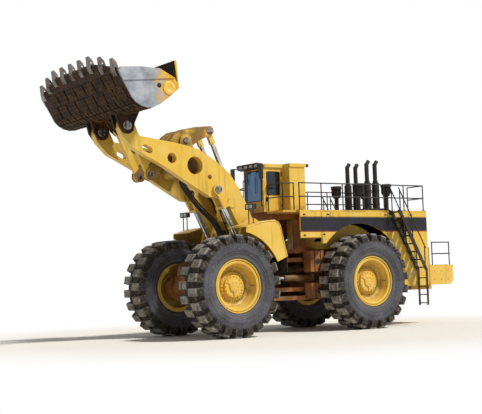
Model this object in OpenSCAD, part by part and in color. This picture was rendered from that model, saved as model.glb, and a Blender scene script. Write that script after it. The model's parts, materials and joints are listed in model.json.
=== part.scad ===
// Large mining wheel loader with its bucket raised and racked back
// Millimetres, +X forward, +Y to the left, +Z up, ground at z = 0
// Longitudinal sizes count from the hitch, midway between the axles

/* [Wheels] */
// Distance between the front and rear axle
wheelbase = 6400; // [5600:10:7200]
// Radius of a tyre over its lugs, which is also the axle height
tyre_r = 1870; // [1700:5:2000]
// Depth of the lugs
lug_depth = 105; // [40:5:140]
// Lugs around one side of a tyre
lug_count = 22; // [16:1:40]
// Share of the pitch that a lug fills
lug_share = 0.62; // [0.4:0.02:0.8]
// How far the lugs run down the sidewall
lug_reach = 200; // [100:10:260]
// Width of a tyre at its widest
tyre_w = 1260; // [1000:10:1400]
// Radius of the bead seat
bead_r = 870; // [820:5:950]
// Half the track, to a tyre's mid plane
track_half = 2050; // [1900:5:2300]
// Half width of the rim between its flanges
rim_half = 430; // [380:5:480]
// Height of the rim flange over the bead seat
flange_h = 60; // [40:2:90]
// Radius of the hub cap
hub_r = 420; // [300:5:500]
// Radius of the axle spindle
spindle_r = 300; // [200:5:360]

/* [Working gear pins, from the hitch and the ground] */
// Boom hinge on the front frame, forward
boom_pin_x = 1650; // [1400:5:2000]
// Boom hinge height
boom_pin_z = 3950; // [3600:5:4300]
// Bucket hinge, forward
bucket_pin_x = 6800; // [6400:5:7200]
// Bucket hinge height
bucket_pin_z = 7690; // [7300:5:8000]
// Lift cylinder pin on the boom, forward
lift_pin_x = 3020; // [2800:5:3300]
// Lift cylinder pin height
lift_pin_z = 5480; // [5200:5:5700]
// Lift cylinder base on the front frame, forward
lift_base_x = 1350; // [1100:5:1600]
// Lift cylinder base height
lift_base_z = 2250; // [2000:5:2500]
// Tilt lever pivot on the boom, forward
lever_pin_x = 4000; // [3800:5:4300]
// Tilt lever pivot height
lever_pin_z = 7350; // [7000:5:7500]
// Upper end of a tilt lever, forward
lever_top_x = 2890; // [2600:5:3200]
// Upper end of a tilt lever, height
lever_top_z = 7770; // [7500:5:8000]
// Lower end of a tilt lever, forward
lever_low_x = 5500; // [5100:5:5800]
// Lower end of a tilt lever, height
lever_low_z = 6050; // [5900:5:6400]
// Tilt link pin on the bucket, forward
link_pin_x = 6300; // [5800:5:6400]
// Tilt link pin on the bucket, height
link_pin_z = 7720; // [7400:5:7900]
// Tilt cylinder base on the front frame, forward
tilt_base_x = 1180; // [1000:5:1500]
// Tilt cylinder base height
tilt_base_z = 3580; // [3300:5:3800]
// Angle of the bucket floor above level
bucket_angle = 60; // [40:1:65]

/* [Working gear sizes] */
// Outer face of a boom arm from the middle
arm_out = 1100; // [1000:5:1200]
// Thickness of a boom arm
arm_t = 280; // [200:5:320]
// Thickness of a clevis or ear plate beside a boom arm
fork_t = 100; // [60:5:120]
// Thickness of a tower plate of the front frame
tower_t = 110; // [70:5:140]
// Middle of a tilt lever from the middle of the machine
lever_y = 400; // [350:5:450]
// Gap between the two plates of a tilt lever
lever_gap = 160; // [120:2:200]
// Thickness of a lever plate
lever_t = 60; // [40:2:80]
// Radius of a large pin
pin_r = 130; // [90:1:160]
// Radius of a small pin
small_pin_r = 90; // [60:1:110]
// Lift cylinder barrel radius
lift_barrel_r = 190; // [150:1:210]
// Lift cylinder rod radius
lift_rod_r = 110; // [80:1:130]
// Tilt cylinder barrel radius
tilt_barrel_r = 165; // [130:1:175]
// Tilt cylinder rod radius
tilt_rod_r = 95; // [70:1:110]
// Steering cylinder barrel radius
steer_barrel_r = 120; // [90:1:140]
// Steering cylinder rod radius
steer_rod_r = 65; // [50:1:80]

/* [Bucket, from its hinge along its floor] */
// Width over the side bands
bucket_w = 6200; // [5600:10:6600]
// Forward reach of the lip at its corners
corner_x = 2000; // [1800:10:2200]
// Forward reach of the lip in the middle
nose_x = 2450; // [2200:10:2600]
// Half width of the straight middle of the lip
nose_half = 1400; // [900:10:1800]
// Thickness of the curved shell
shell_t = 70; // [40:2:100]
// Thickness of the lip plate
lip_t = 90; // [60:2:120]
// Thickness of a side plate
cheek_t = 70; // [40:2:120]
// Thickness of the band along a side plate's edge
band_t = 40; // [20:2:60]
// Teeth along the lip
tooth_count = 9; // [5:1:11]
// Reach of a tooth past the lip
tooth_reach = 330; // [200:10:400]

/* [Body] */
// Half width of the deck and side panels
deck_half = 1900; // [1700:5:2100]
// Height of the deck's walking surface
deck_z = 4700; // [4500:5:4900]
// Front edge of the deck
deck_front = -230; // [-400:5:-100]
// Rear edge of the deck
deck_rear = -6880; // [-7100:5:-6600]
// Thickness of the deck
deck_t = 80; // [50:5:120]
// Thickness of a side panel
panel_t = 60; // [30:5:90]
// Lower edge of the dark band
band_low = 3900; // [3700:5:4000]
// Upper edge of the dark band
band_high = 4420; // [4300:5:4550]
// Radius of the rear wheel arch
arch_r = 2300; // [2150:10:2400]
// Rear face of the bumper
bumper_rear = -8600; // [-8900:5:-8300]
// Half width of the rear cross member and the bumper
tail_half = 1600; // [1400:5:1640]
// Half width of the cab
cab_half = 650; // [600:5:800]
// Half width of the protective frame behind the cab
guard_half = 1100; // [900:5:1200]
// Front of the cab
cab_front = 560; // [450:5:600]
// Height of the cab roof
cab_top = 6580; // [6400:5:6700]
// Thickness of the cab walls
cab_t = 60; // [40:2:80]
// Height of the deck rails
rail_h = 1050; // [900:10:1150]
// Radius of a rail tube
rail_r = 24; // [18:1:32]
// Height of the exhaust tips
stack_top = 6880; // [6600:5:7000]

/* [Fits] */
// Radial clearance of a pin or rod
pin_gap = 0.5; // [0.1:0.1:1]
// Gap between bodies that slide past each other
side_gap = 10; // [5:1:20]
// Gap between seated faces of one body
seat_gap = 0.3; // [0.1:0.1:0.5]

/* [Hidden] */
$fn = 40;
fx = wheelbase / 2;
rx = -wheelbase / 2;
flange_r = bead_r + flange_h;
axle_pad_z = tyre_r + 460;
rail_low = axle_pad_z + 70;
rail_top = rail_low + 800;
engine_low = rail_low + 300;
deck_low = deck_z - deck_t;
arm_in = arm_out - arm_t;
arm_mid = arm_out - arm_t / 2;
floor_z = -370;
tooth_tip = [nose_x + tooth_reach, -270];
front_most = bucket_pin_x + tooth_tip[0] * cos(bucket_angle) - tooth_tip[1] * sin(bucket_angle);
origin_x = (front_most + bumper_rear) / 2;
fork_in0 = arm_in - side_gap - fork_t;
fork_out1 = arm_out + side_gap + fork_t;
tower_in1 = fork_in0 - side_gap;
tower_in0 = tower_in1 - tower_t;
tower_out0 = fork_out1 + side_gap;
tower_out1 = tower_out0 + tower_t;
lever_in0 = lever_y - lever_gap / 2 - lever_t;
lever_out0 = lever_y + lever_gap / 2;
lever_out1 = lever_y + lever_gap / 2 + lever_t;
eye_half = lever_gap / 2 - side_gap;
lift_a = atan2(lift_pin_z - lift_base_z, lift_pin_x - lift_base_x);
lift_len = norm([lift_pin_x - lift_base_x, lift_pin_z - lift_base_z]);
tilt_a = atan2(lever_top_z - tilt_base_z, lever_top_x - tilt_base_x);
tilt_len = norm([lever_top_x - tilt_base_x, lever_top_z - tilt_base_z]);
link_a = atan2(link_pin_z - lever_low_z, link_pin_x - lever_low_x);
link_len = norm([link_pin_x - lever_low_x, link_pin_z - lever_low_z]);
steer_z = 2100;
steer_base = [-1550, 850];
steer_pin = [720, 800];
steer_a = atan2(steer_pin[1] - steer_base[1], steer_pin[0] - steer_base[0]);
steer_len = norm([steer_pin[0] - steer_base[0], steer_pin[1] - steer_base[1]]);
yellow = "#e0ab2a";
dark = "#3c3a34";
black = "#1c1c1c";
rubber = "#3a3a38";
chrome = "#c9cdd0";
steel = "#8c8c88";
tinted = "#203040";

// Shared helpers
module at_datum() {
  translate([-origin_x, 0, 0]) children();
}

module pair() {
  children();
  mirror([0, 1, 0]) children();
}

// Raises a flat shape drawn in X and Z to a plate between y0 and y1
module slab(y0, y1) {
  translate([0, y1, 0]) rotate([90, 0, 0]) linear_extrude(y1 - y0) children();
}

module prism(y0, y1, pts) {
  slab(y0, y1) polygon(pts);
}

module drum(x, z, y0, y1, r) {
  translate([x, y1, z]) rotate([90, 0, 0]) cylinder(h = y1 - y0, r = r);
}

module box(x0, x1, y0, y1, z0, z1) {
  translate([x0, y0, z0]) cube([x1 - x0, y1 - y0, z1 - z0]);
}

module post(x, y, z0, z1, r) {
  translate([x, y, z0]) cylinder(h = z1 - z0, r = r);
}

// A bar along X at y, z
module bar_x(x0, x1, y, z, r) {
  translate([x0, y, z]) rotate([0, 90, 0]) cylinder(h = x1 - x0, r = r);
}

// A bar along Y at x, z
module bar_y(y0, y1, x, z, r) {
  drum(x, z, y0, y1, r);
}

// Places a piece whose length runs along +Z so that it leans at angle a in the XZ plane
module lean(x, y, z, a) {
  translate([x, y, z]) rotate([0, 90 - a, 0]) children();
}

module bucket_frame() {
  translate([bucket_pin_x, 0, bucket_pin_z]) rotate([0, -bucket_angle, 0]) children();
}

function back(p) = [for (i = [len(p) - 1 : -1 : 0]) p[i]];
function both_sides(p) = concat([for (q = p) [q[0], -q[1]]], back(p));

// A path moved to its right by t
function beside(p, t) = [
  for (i = [0 : len(p) - 1])
    let (v = p[min(i + 1, len(p) - 1)] - p[max(i - 1, 0)])
    p[i] + [v[1], -v[0]] * t / norm(v)
];

// Wheels
function lug_ring(r0, r1, n, share, turn) = [
  for (i = [0 : n - 1])
    for (k = [0 : 3])
      let (p = 360 / n, w = p * share, slope = w * 0.06, a = turn + i * p)
      k == 0 ? [r0 * cos(a), r0 * sin(a)] :
      k == 1 ? [r1 * cos(a + slope), r1 * sin(a + slope)] :
      k == 2 ? [r1 * cos(a + w - slope), r1 * sin(a + w - slope)] :
      [r0 * cos(a + w), r0 * sin(a + w)]
];

module lug_row(h0, h1, r0, turn) {
  translate([0, 0, h0]) linear_extrude(h1 - h0)
    polygon(lug_ring(r0, tyre_r, lug_count, lug_share, turn));
}

module tyre() {
  w = tyre_w / 2;
  crown = tyre_r - lug_depth;
  foot = crown - lug_reach;
  wall_r = (bead_r + tyre_r) / 2;
  groove_half = 60;
  union() {
    rotate_extrude($fn = 60) polygon(both_sides([[bead_r, rim_half], [flange_r + 12, rim_half],
      [flange_r + 90, rim_half + 100], [wall_r - 80, w], [wall_r + 130, w - 15], [foot, w - 60],
      [crown - 60, w - 200], [crown, w - 330]]));
    intersection() {
      union() {
        lug_row(groove_half, w, foot - 30, 0);
        lug_row(-w, -groove_half, foot - 30, 180 / lug_count);
      }
      rotate_extrude($fn = 60) polygon(both_sides([[foot - 60, w - 20], [crown - 40, w - 25],
        [tyre_r + 25, w - 115]]));
    }
  }
}

// Profile of a rim from its back to its face, then in to the hub cap and the spindle pocket
module rim() {
  seat = bead_r - seat_gap;
  edge = rim_half + seat_gap;
  bore = spindle_r + pin_gap;
  rotate_extrude() polygon([[bore, -160], [520, -160], [560, -60], [bead_r - 110, -60],
    [bead_r - 90, -rim_half - 40], [flange_r, -rim_half - 40], [flange_r, -edge], [seat, -edge], [seat, edge],
    [flange_r, edge], [flange_r, rim_half + 50], [flange_r - 40, rim_half + 75], [bead_r - 50, rim_half + 60],
    [bead_r - 80, 330], [700, 140], [600, 90], [540, 90], [520, 130], [hub_r, 130], [hub_r - 20, 240],
    [230, 240], [200, 290], [0, 290], [0, 70], [bore, 70]]);
}

// Wheel axes point to +Y, so a right wheel is a left wheel mirrored
module place_wheel(x, side) {
  at_datum() translate([x, side * track_half, tyre_r]) mirror([0, side < 0 ? 1 : 0, 0])
    rotate([-90, 0, 0]) children();
}

module tyre_front_left() color(rubber) place_wheel(fx, 1) tyre();
module tyre_front_right() color(rubber) place_wheel(fx, -1) tyre();
module tyre_rear_left() color(rubber) place_wheel(rx, 1) tyre();
module tyre_rear_right() color(rubber) place_wheel(rx, -1) tyre();
module rim_front_left() color(yellow) place_wheel(fx, 1) rim();
module rim_front_right() color(yellow) place_wheel(fx, -1) rim();
module rim_rear_left() color(yellow) place_wheel(rx, 1) rim();
module rim_rear_right() color(yellow) place_wheel(rx, -1) rim();

// Axles: a beam, a round gear case in the middle, a drive housing at each end and pads under the frame
module axle(x) {
  beam_half = 1500;
  pad_half = 300;
  union() {
    drum(x, tyre_r, -beam_half, beam_half, 320);
    drum(x, tyre_r, -420, 420, 430);
    pair() drum(x, tyre_r, beam_half - 60, track_half - 180, 500);
    pair() drum(x, tyre_r, track_half - 200, track_half + 60, spindle_r);
    pair() box(x - pad_half, x + pad_half, tower_in0, tower_out1, tyre_r, axle_pad_z);
  }
}

module front_axle() color(dark) at_datum() axle(fx);
module rear_axle() color(dark) at_datum() axle(rx);

// Front frame: a hitch box behind four tower plates, which hold the boom and its cylinders
hitch_r = 450;
hitch_pin_r = 140;
tower_back = 1050;
frame_low = 1350;
frame_high = 3150;
module front_hitch_plate(z0, z1) {
  translate([0, 0, z0]) linear_extrude(z1 - z0) difference() {
    union() {
      circle(hitch_r);
      polygon([[0, -hitch_r], [600, -700], [tower_back - 50, -700], [tower_back - 50, 700], [600, 700],
        [0, hitch_r]]);
    }
    circle(hitch_pin_r + pin_gap);
  }
}

tower_pts = [[tower_back, frame_low], [tower_back, frame_high + 10], [900, 3400], [950, 3800], [1250, 4250],
  [1500, 4400], [1850, 4400], [2080, 4200], [2300, 3500], [2700, axle_pad_z + 620], [3700, axle_pad_z + 370],
  [3800, axle_pad_z + seat_gap], [2750, axle_pad_z + seat_gap], [2450, frame_low]];

steer_ear_r = 120;
steer_ear_t = 60;
// Pocket in the bulkhead behind each ear, where the rod's eye swings
steer_pocket = 135;
steer_eye_half = 80;
module steer_ears(x, r, reach) {
  translate([0, 0, steer_z]) for (s = [-1, 1])
    translate([x[0], x[1], s * 120 - steer_ear_t / 2]) linear_extrude(steer_ear_t) union() {
      circle(r);
      translate([min(reach, 0), -r]) square([abs(reach), 2 * r]);
    }
}

module front_frame() color(yellow) at_datum() {
  wall = 200;
  union() {
    difference() {
      box(tower_back - wall, tower_back - seat_gap, -tower_out1, tower_out1, frame_low, frame_high);
      box(tower_back - wall - 1, tower_back + 1, -350, 350, 1800, 2600);
      pair() box(tower_back - wall - 1, tower_back - wall + steer_pocket, steer_pin[1] - 140, steer_pin[1] + 300,
        steer_z - steer_eye_half - 5, steer_z + steer_eye_half + 5);
    }
    front_hitch_plate(2900, 3060);
    front_hitch_plate(1400, 1560);
    pair() steer_ears(steer_pin, steer_ear_r, tower_back - wall / 2 - steer_pin[0]);
  }
  box(3300, 3600, seat_gap - tower_in0, tower_in0 - seat_gap, axle_pad_z + seat_gap, axle_pad_z + 320);
}

tower_holes = [[boom_pin_x, boom_pin_z], [lift_base_x, lift_base_z]];
module tower_plate(y0, holes) {
  slab(y0, y0 + tower_t) difference() {
    polygon(tower_pts);
    for (p = holes)
      translate(p) circle(pin_r + seat_gap);
  }
}

module front_towers() color(yellow) at_datum() pair() {
  tower_plate(tower_in0, concat(tower_holes, [[tilt_base_x, tilt_base_z]]));
  tower_plate(tower_out0, tower_holes);
}

// Pins with a round head outside the towers
module tower_pins() color(steel) at_datum() pair()
  for (p = tower_holes) union() {
    drum(p[0], p[1], tower_in0, tower_out1 + 20, pin_r);
    drum(p[0], p[1], tower_out1 + seat_gap, tower_out1 + 45, pin_r + 60);
  }

// Fenders: a bent sheet over each front tyre with a skirt along its outer edge
fender_t = 35;
fender_half = 2560;
skirt_t = 30;
skirt_gap = 120;
fender_path = [[fx - 450, tyre_r + 2120], [fx - 1100, tyre_r + 2310], [fx - 1720, tyre_r + 2370],
  [fx - 1950, tyre_r + 2210], [fx - 2090, tyre_r + 1630], [fx - 2240, tyre_r + 1030]];
fender_top = beside(fender_path, fender_t);
module front_fenders() color(yellow) at_datum() pair() union() {
  prism(tower_out1 + seat_gap, fender_half, concat(fender_path, back(fender_top)));
  slab(fender_half - skirt_t, fender_half) difference() {
    polygon(concat(fender_top, [[fx - 1200, tyre_r + 600], [fx - 400, tyre_r + 1500]]));
    translate([fx, tyre_r]) circle(tyre_r + skirt_gap, $fn = 120);
  }
}

module fender_lamps() color(black) at_datum() pair() {
  lamp_x = fx - 850;
  lamp_z = tyre_r + 2790;
  difference() {
    union() {
      post(lamp_x, 2150, tyre_r + 2200, lamp_z + 20, 22);
      post(lamp_x, 2430, tyre_r + 2200, lamp_z + 20, 22);
      box(lamp_x - 90, lamp_x + 90, 2050, 2530, lamp_z, lamp_z + 200);
    }
    translate([0, 0, seat_gap]) prism(tower_out1, fender_half + 1, concat(fender_top, [[0, 0], [fx, 0]]));
    for (y = [2070, 2300])
      box(lamp_x + 60, lamp_x + 91, y, y + 210, lamp_z + 20, lamp_z + 180);
  }
}

// Boom: two arms, an open cross tube, the tilt lever brackets and round bosses
tube_at = [3950, 6360];
tube_r = 400;
tube_bore = 330;
boss_at = [2370, 5000];
arm_pts = [[6520, 7960], [6340, 7520], [6260, 7360], [5410, 7250], [4650, 7150], [3800, 6985], [3200, 6660],
  [2680, 6310], [2370, 6050], [1990, 5500], [1700, 4970], [1440, 4400], [1330, 4050], [1380, 3800],
  [1560, 3680], [1760, 3680], [1900, 3790], [1960, 3960], [2060, 4100], [2230, 4400], [2390, 4700],
  [2540, 4965], [2740, 5120], [3000, 5170], [3340, 5210], [4190, 5680], [5190, 6250], [6520, 6900],
  [6950, 7330], [7060, 7600], [7020, 7850], [6800, 7990]];

// The holes of an arm: hinges, the tube, two round lightening holes and a long slot
module arm_holes() {
  translate([bucket_pin_x, bucket_pin_z]) circle(pin_r + pin_gap);
  translate([boom_pin_x, boom_pin_z]) circle(pin_r + pin_gap);
  translate(tube_at) circle(tube_bore);
  translate([4930, 6600]) circle(190);
  translate([3310, 5950]) circle(90);
  translate([5850, 6850]) rotate(25) polygon([[-115, -50], [-50, -115], [260, -115], [325, -50], [325, 50],
    [260, 115], [-50, 115], [-115, 50]]);
}

lever_bracket_t = 70;
module boom() color(yellow) at_datum() difference() {
  union() {
    pair() slab(arm_in, arm_out) difference() {
      polygon(arm_pts);
      arm_holes();
    }
    drum(tube_at[0], tube_at[1], -arm_in - 1, arm_in + 1, tube_r);
    pair() drum(boom_pin_x, boom_pin_z, tower_in1 + side_gap, tower_out0 - side_gap, 260);
    pair() drum(boss_at[0], boss_at[1], arm_out - 1, arm_out + 40, 190);
    pair() for (y = [lever_in0 - side_gap - lever_bracket_t, lever_out1 + side_gap])
      prism(y, y + lever_bracket_t, [[3600, tube_at[1]], [3740, 7350], [3780, 7480], [3900, 7590],
        [4100, 7590], [4220, 7480], [4260, 7350], [4300, tube_at[1]]]);
    pair() drum(lever_pin_x, lever_pin_z, lever_in0 - side_gap - 90, lever_out1 + side_gap + 90, pin_r);
  }
  drum(tube_at[0], tube_at[1], -arm_out - 1, arm_out + 1, tube_bore);
  pair() drum(boom_pin_x, boom_pin_z, tower_in1, tower_out0, pin_r + pin_gap);
}

// Tilt levers, links and cylinders
lever_pts = [[lever_top_x - 20, lever_top_z + 180], [3500, 7890], [4150, 7760], [4420, 7580], [5660, 6190],
  [5350, 5930], [3790, 7100], [3350, 7400], [lever_top_x - 20, lever_top_z - 180]];
module lever_plate(y0) {
  slab(y0, y0 + lever_t) union() {
    polygon(lever_pts);
    translate([lever_top_x, lever_top_z]) circle(185);
    translate([lever_low_x, lever_low_z]) circle(215);
  }
}

module tilt_levers() color(yellow) at_datum() pair() difference() {
  union() {
    lever_plate(lever_in0);
    lever_plate(lever_out0);
    drum(lever_pin_x, lever_pin_z, lever_in0, lever_out1, 240);
    drum(lever_low_x, lever_low_z, lever_in0, lever_out1, small_pin_r);
  }
  drum(lever_pin_x, lever_pin_z, lever_in0 - 10, lever_out1 + 10, pin_r + pin_gap);
}

link_eye_r = 190;
link_w = 240;
module tilt_links() color(yellow) at_datum() pair() slab(lever_y - eye_half, lever_y + eye_half)
  difference() {
    union() {
      translate([lever_low_x, lever_low_z]) circle(link_eye_r);
      translate([link_pin_x, link_pin_z]) circle(link_eye_r);
      translate([lever_low_x, lever_low_z]) rotate(link_a) translate([0, -link_w / 2])
        square([link_len, link_w]);
    }
    translate([lever_low_x, lever_low_z]) circle(small_pin_r + pin_gap);
  }

module tilt_trunnion() color(steel) at_datum()
  drum(tilt_base_x, tilt_base_z, -tower_in1 - 20, tower_in1 + 20, pin_r);

tilt_barrel_len = 2750;
tilt_rod_from = 2150;
tilt_eye_len = 520;
module along_tilt() {
  lean(tilt_base_x, lever_y, tilt_base_z, tilt_a) children();
}

module tilt_barrels() color(yellow) at_datum() pair() difference() {
  union() {
    drum(tilt_base_x, tilt_base_z, lever_y - tilt_barrel_r, lever_y + tilt_barrel_r, pin_r + 80);
    along_tilt() cylinder(h = tilt_barrel_len, r = tilt_barrel_r);
    along_tilt() translate([0, 0, tilt_barrel_len - 120]) cylinder(h = 130, r = tilt_barrel_r + 18);
  }
  drum(tilt_base_x, tilt_base_z, lever_y - 300, lever_y + 300, pin_r + pin_gap);
  along_tilt() translate([0, 0, 300]) cylinder(h = tilt_barrel_len, r = tilt_rod_r + pin_gap);
}

module tilt_rods() color(chrome) at_datum() pair() union() {
  along_tilt() translate([0, 0, tilt_rod_from])
    cylinder(h = tilt_len - tilt_eye_len + 100 - tilt_rod_from, r = tilt_rod_r);
  slab(lever_y - eye_half, lever_y + eye_half) union() {
    translate([lever_top_x, lever_top_z]) circle(165);
    translate([tilt_base_x, tilt_base_z]) rotate(tilt_a) translate([tilt_len - tilt_eye_len, -tilt_rod_r - 5])
      square([tilt_eye_len, 2 * tilt_rod_r + 10]);
  }
}

// Lift cylinders, whose rods end in a fork round a boom arm
lift_barrel_len = 1690;
lift_rod_from = 1420;
lift_fork = 640;
lift_yoke = 110;
module along_lift() {
  translate([lift_base_x, lift_base_z]) rotate(lift_a) children();
}

module lift_barrels() color(yellow) at_datum() pair() difference() {
  union() {
    drum(lift_base_x, lift_base_z, tower_in1 + side_gap, tower_out0 - side_gap, pin_r + 90);
    lean(lift_base_x, arm_mid, lift_base_z, lift_a) cylinder(h = lift_barrel_len, r = lift_barrel_r);
  }
  drum(lift_base_x, lift_base_z, tower_in0, tower_out1, pin_r + pin_gap);
  lean(lift_base_x, arm_mid, lift_base_z, lift_a) translate([0, 0, 200])
    cylinder(h = lift_barrel_len, r = lift_rod_r + pin_gap);
}

module lift_fork_plate() {
  union() {
    translate([lift_pin_x, lift_pin_z]) circle(200);
    along_lift() translate([lift_len - lift_fork - lift_yoke / 2, -120])
      square([lift_fork + lift_yoke / 2, 240]);
  }
}

module lift_rods() color(chrome) at_datum() pair() union() {
  slab(fork_in0, fork_in0 + fork_t) lift_fork_plate();
  slab(fork_out1 - fork_t, fork_out1) lift_fork_plate();
  slab(fork_in0, fork_out1) along_lift() translate([lift_len - lift_fork - lift_yoke, -130])
    square([lift_yoke, 260]);
  lean(lift_base_x, arm_mid, lift_base_z, lift_a) translate([0, 0, lift_rod_from])
    cylinder(h = lift_len - lift_rod_from - lift_fork - lift_yoke / 2, r = lift_rod_r);
}

// Steering cylinders
steer_barrel_len = 1400;
steer_neck = 270;
steer_neck_r = 84;
steer_rod_from = 720;
module steer_lean(s) {
  translate([steer_base[0], s * steer_base[1], steer_z]) rotate([0, 0, s * steer_a]) rotate([0, 90, 0])
    children();
}

module steer_barrel(s) at_datum() difference() {
  union() {
    post(steer_base[0], s * steer_base[1], steer_z - steer_eye_half, steer_z + steer_eye_half, 130);
    steer_lean(s) cylinder(h = steer_neck + 1, r = steer_neck_r);
    steer_lean(s) translate([0, 0, steer_neck])
      cylinder(h = steer_barrel_len - steer_neck, r = steer_barrel_r);
  }
  post(steer_base[0], s * steer_base[1], steer_z - 200, steer_z + 200, small_pin_r + pin_gap);
  steer_lean(s) translate([0, 0, 160]) cylinder(h = steer_barrel_len, r = steer_rod_r + pin_gap);
}

module steer_rod(s) at_datum() union() {
  steer_lean(s) translate([0, 0, steer_rod_from]) cylinder(h = steer_len - steer_rod_from, r = steer_rod_r);
  post(steer_pin[0], s * steer_pin[1], steer_z - steer_eye_half, steer_z + steer_eye_half, 110);
}

module steer_barrel_left() color(yellow) steer_barrel(1);
module steer_barrel_right() color(yellow) steer_barrel(-1);
module steer_rod_left() color(chrome) steer_rod(1);
module steer_rod_right() color(chrome) steer_rod(-1);

// Bucket, in a frame at its hinge with +X along the floor to the lip
shell_pts = [[corner_x, floor_z], [970, floor_z], [760, -310], [560, -180], [400, 0], [310, 220], [290, 500],
  [330, 950], [430, 1480]];
cheek_pts = concat(shell_pts, [[780, 1500], [1350, 1120], [1750, 450], [corner_x + 60, floor_z + 140]]);
side_band_pts = [[1610, floor_z + 2], [corner_x - 5, floor_z + 2], [corner_x + 53, floor_z + 138], [1744, 448],
  [1345, 1114], [790, 1490]];
cheek_y = bucket_w / 2 - band_t;
lip_half = cheek_y - 1;
link_local = [(link_pin_x - bucket_pin_x) * cos(bucket_angle) + (link_pin_z - bucket_pin_z) * sin(bucket_angle),
  -(link_pin_x - bucket_pin_x) * sin(bucket_angle) + (link_pin_z - bucket_pin_z) * cos(bucket_angle)];

module bucket_ear(y0) {
  prism(y0, y0 + fork_t, [[-180, -240], [120, -290], [560, -180], [400, 0], [310, 220], [290, 500],
    [315, 780], [250, 780], [-60, 320], [-280, 120], [-300, -60]]);
}

module link_ear(y0, k) {
  prism(y0, y0 + lever_t, [[k[0] - 150, k[1] - 130], [k[0] + 100, k[1] - 240], [310, 220], [290, 500],
    [330, 950], [390, 1270], [330, 1270], [k[0] + 60, k[1] + 210], [k[0] - 140, k[1] + 150]]);
}

// Reach of the lip at y, where its corners are cut back
function lip_x(y) = y <= nose_half ? nose_x :
  nose_x - (nose_x - corner_x) * (y - nose_half) / (lip_half - nose_half);

module bucket_shell() color("#8c6a3a") at_datum() bucket_frame() union() {
  prism(-cheek_y + 1, cheek_y - 1, concat(shell_pts, back(beside(shell_pts, shell_t))));
  translate([0, 0, floor_z]) linear_extrude(lip_t) polygon([[corner_x - 200, -lip_half], [corner_x, -lip_half],
    [nose_x, -nose_half], [nose_x, nose_half], [corner_x, lip_half], [corner_x - 200, lip_half]]);
  pair() prism(cheek_y - cheek_t, cheek_y, cheek_pts);
  pair() prism(cheek_y - 1, bucket_w / 2, side_band_pts);
  prism(-cheek_y + 20, cheek_y - 20, [[430, 1480], [500, 1465], [1330, 1820], [1290, 1890]]);
  pair() bucket_ear(fork_in0);
  pair() bucket_ear(fork_out1 - fork_t);
  pair() drum(0, 0, fork_in0, fork_out1, pin_r);
  pair() link_ear(lever_in0, link_local);
  pair() link_ear(lever_out0, link_local);
}

// A tooth straddles the lip and points forward
tooth_half = 110;
tooth_pitch = (bucket_w - 600) / (tooth_count - 1);
module bucket_teeth() color("#77726a") at_datum() bucket_frame()
  for (i = [0 : tooth_count - 1])
    let (y = (i - (tooth_count - 1) / 2) * tooth_pitch, l = lip_x(max(abs(y) - tooth_half, 0)),
      under = floor_z - seat_gap, over = floor_z + lip_t + seat_gap, ahead = l + seat_gap)
      prism(y - tooth_half, y + tooth_half, [[l - 270, under], [l - 250, under - 55], [l - 20, under - 55],
        [l + tooth_reach, tooth_tip[1]], [l + tooth_reach, tooth_tip[1] + 20], [l + 150, over + 90],
        [l - 20, over + 70], [l - 140, over], [ahead, over], [ahead, under]]);

// Two staggered rows of wear plates under the floor
plate_pitch = 720;
plate_h = 35;
module wear_plates() color("#5f5348") at_datum() bucket_frame()
  for (row = [[1000, 1450, 8], [1500, 1950, 7]])
    for (i = [0 : row[2] - 1])
      let (y = (i - (row[2] - 1) / 2) * plate_pitch)
        box(row[0], row[1], y - 300, y + 300, floor_z - plate_h, floor_z - seat_gap);

// Rear frame: rails on the rear axle, a bulkhead with the hitch plates, and the cab's stand
bulkhead_front = -1700;
bulkhead_half = 1050;
stand_z = 4420;
walk_front = 420;
module rear_hitch_plate(z0, z1) {
  translate([0, 0, z0]) linear_extrude(z1 - z0) union() {
    circle(hitch_r);
    polygon([[0, -hitch_r], [-600, -700], [bulkhead_front - 50, -900], [bulkhead_front - 50, 900], [-600, 700],
      [0, hitch_r]]);
  }
}

hitch_levels = [1230, 1570, 2730, 3070];
hitch_t = 160;
module rear_frame() color(dark) at_datum() {
  rear_rails();
  cab_stand();
}

module rear_rails() difference() {
  rail_y0 = 560;
  rail_y1 = 900;
  union() {
    box(bulkhead_front - 200, bulkhead_front, -bulkhead_half, bulkhead_half, 1230, rail_top);
    pair() box(-7000, bulkhead_front - 100, rail_y0, rail_y1, rail_low, rail_top);
    pair() box(rx - 350, rx + 350, rail_y0, rail_y1, axle_pad_z + seat_gap, rail_low + 1);
    box(-2600, -2300, -rail_y0 - 1, rail_y0 + 1, rail_low + 50, rail_top - 300);
    box(-5000, -4700, -rail_y0 - 1, rail_y0 + 1, rail_low + 50, engine_low - seat_gap);
    box(-7250, -6900, -tail_half, tail_half, 1700, rail_top);
    for (z = hitch_levels)
      rear_hitch_plate(z, z + hitch_t);
    pair() steer_ears(steer_base, 130, bulkhead_front - 20 - steer_base[0]);
    pair() post(steer_base[0], steer_base[1], steer_z - 150, steer_z + 150, small_pin_r);
  }
  post(0, 0, 1000, 3500, hitch_pin_r + seat_gap);
}

module cab_stand() union() {
  pair() box(-1300, -900, 500, 800, hitch_levels[3] + hitch_t + seat_gap, stand_z + 1);
  box(-1350, walk_front, -cab_half + 10, cab_half - 10, stand_z, deck_low - seat_gap);
  box(deck_front + seat_gap, walk_front, -cab_half + seat_gap, cab_half - seat_gap, stand_z, deck_z - seat_gap);
}

module hitch_pins() color(steel) at_datum() {
  post(0, 0, 2700, 3250, hitch_pin_r);
  post(0, 0, 1210, 1750, hitch_pin_r);
}

module engine_block() color("#55524a") at_datum()
  box(-6000, -3900, -540, 540, engine_low, engine_low + 1500);

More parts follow.
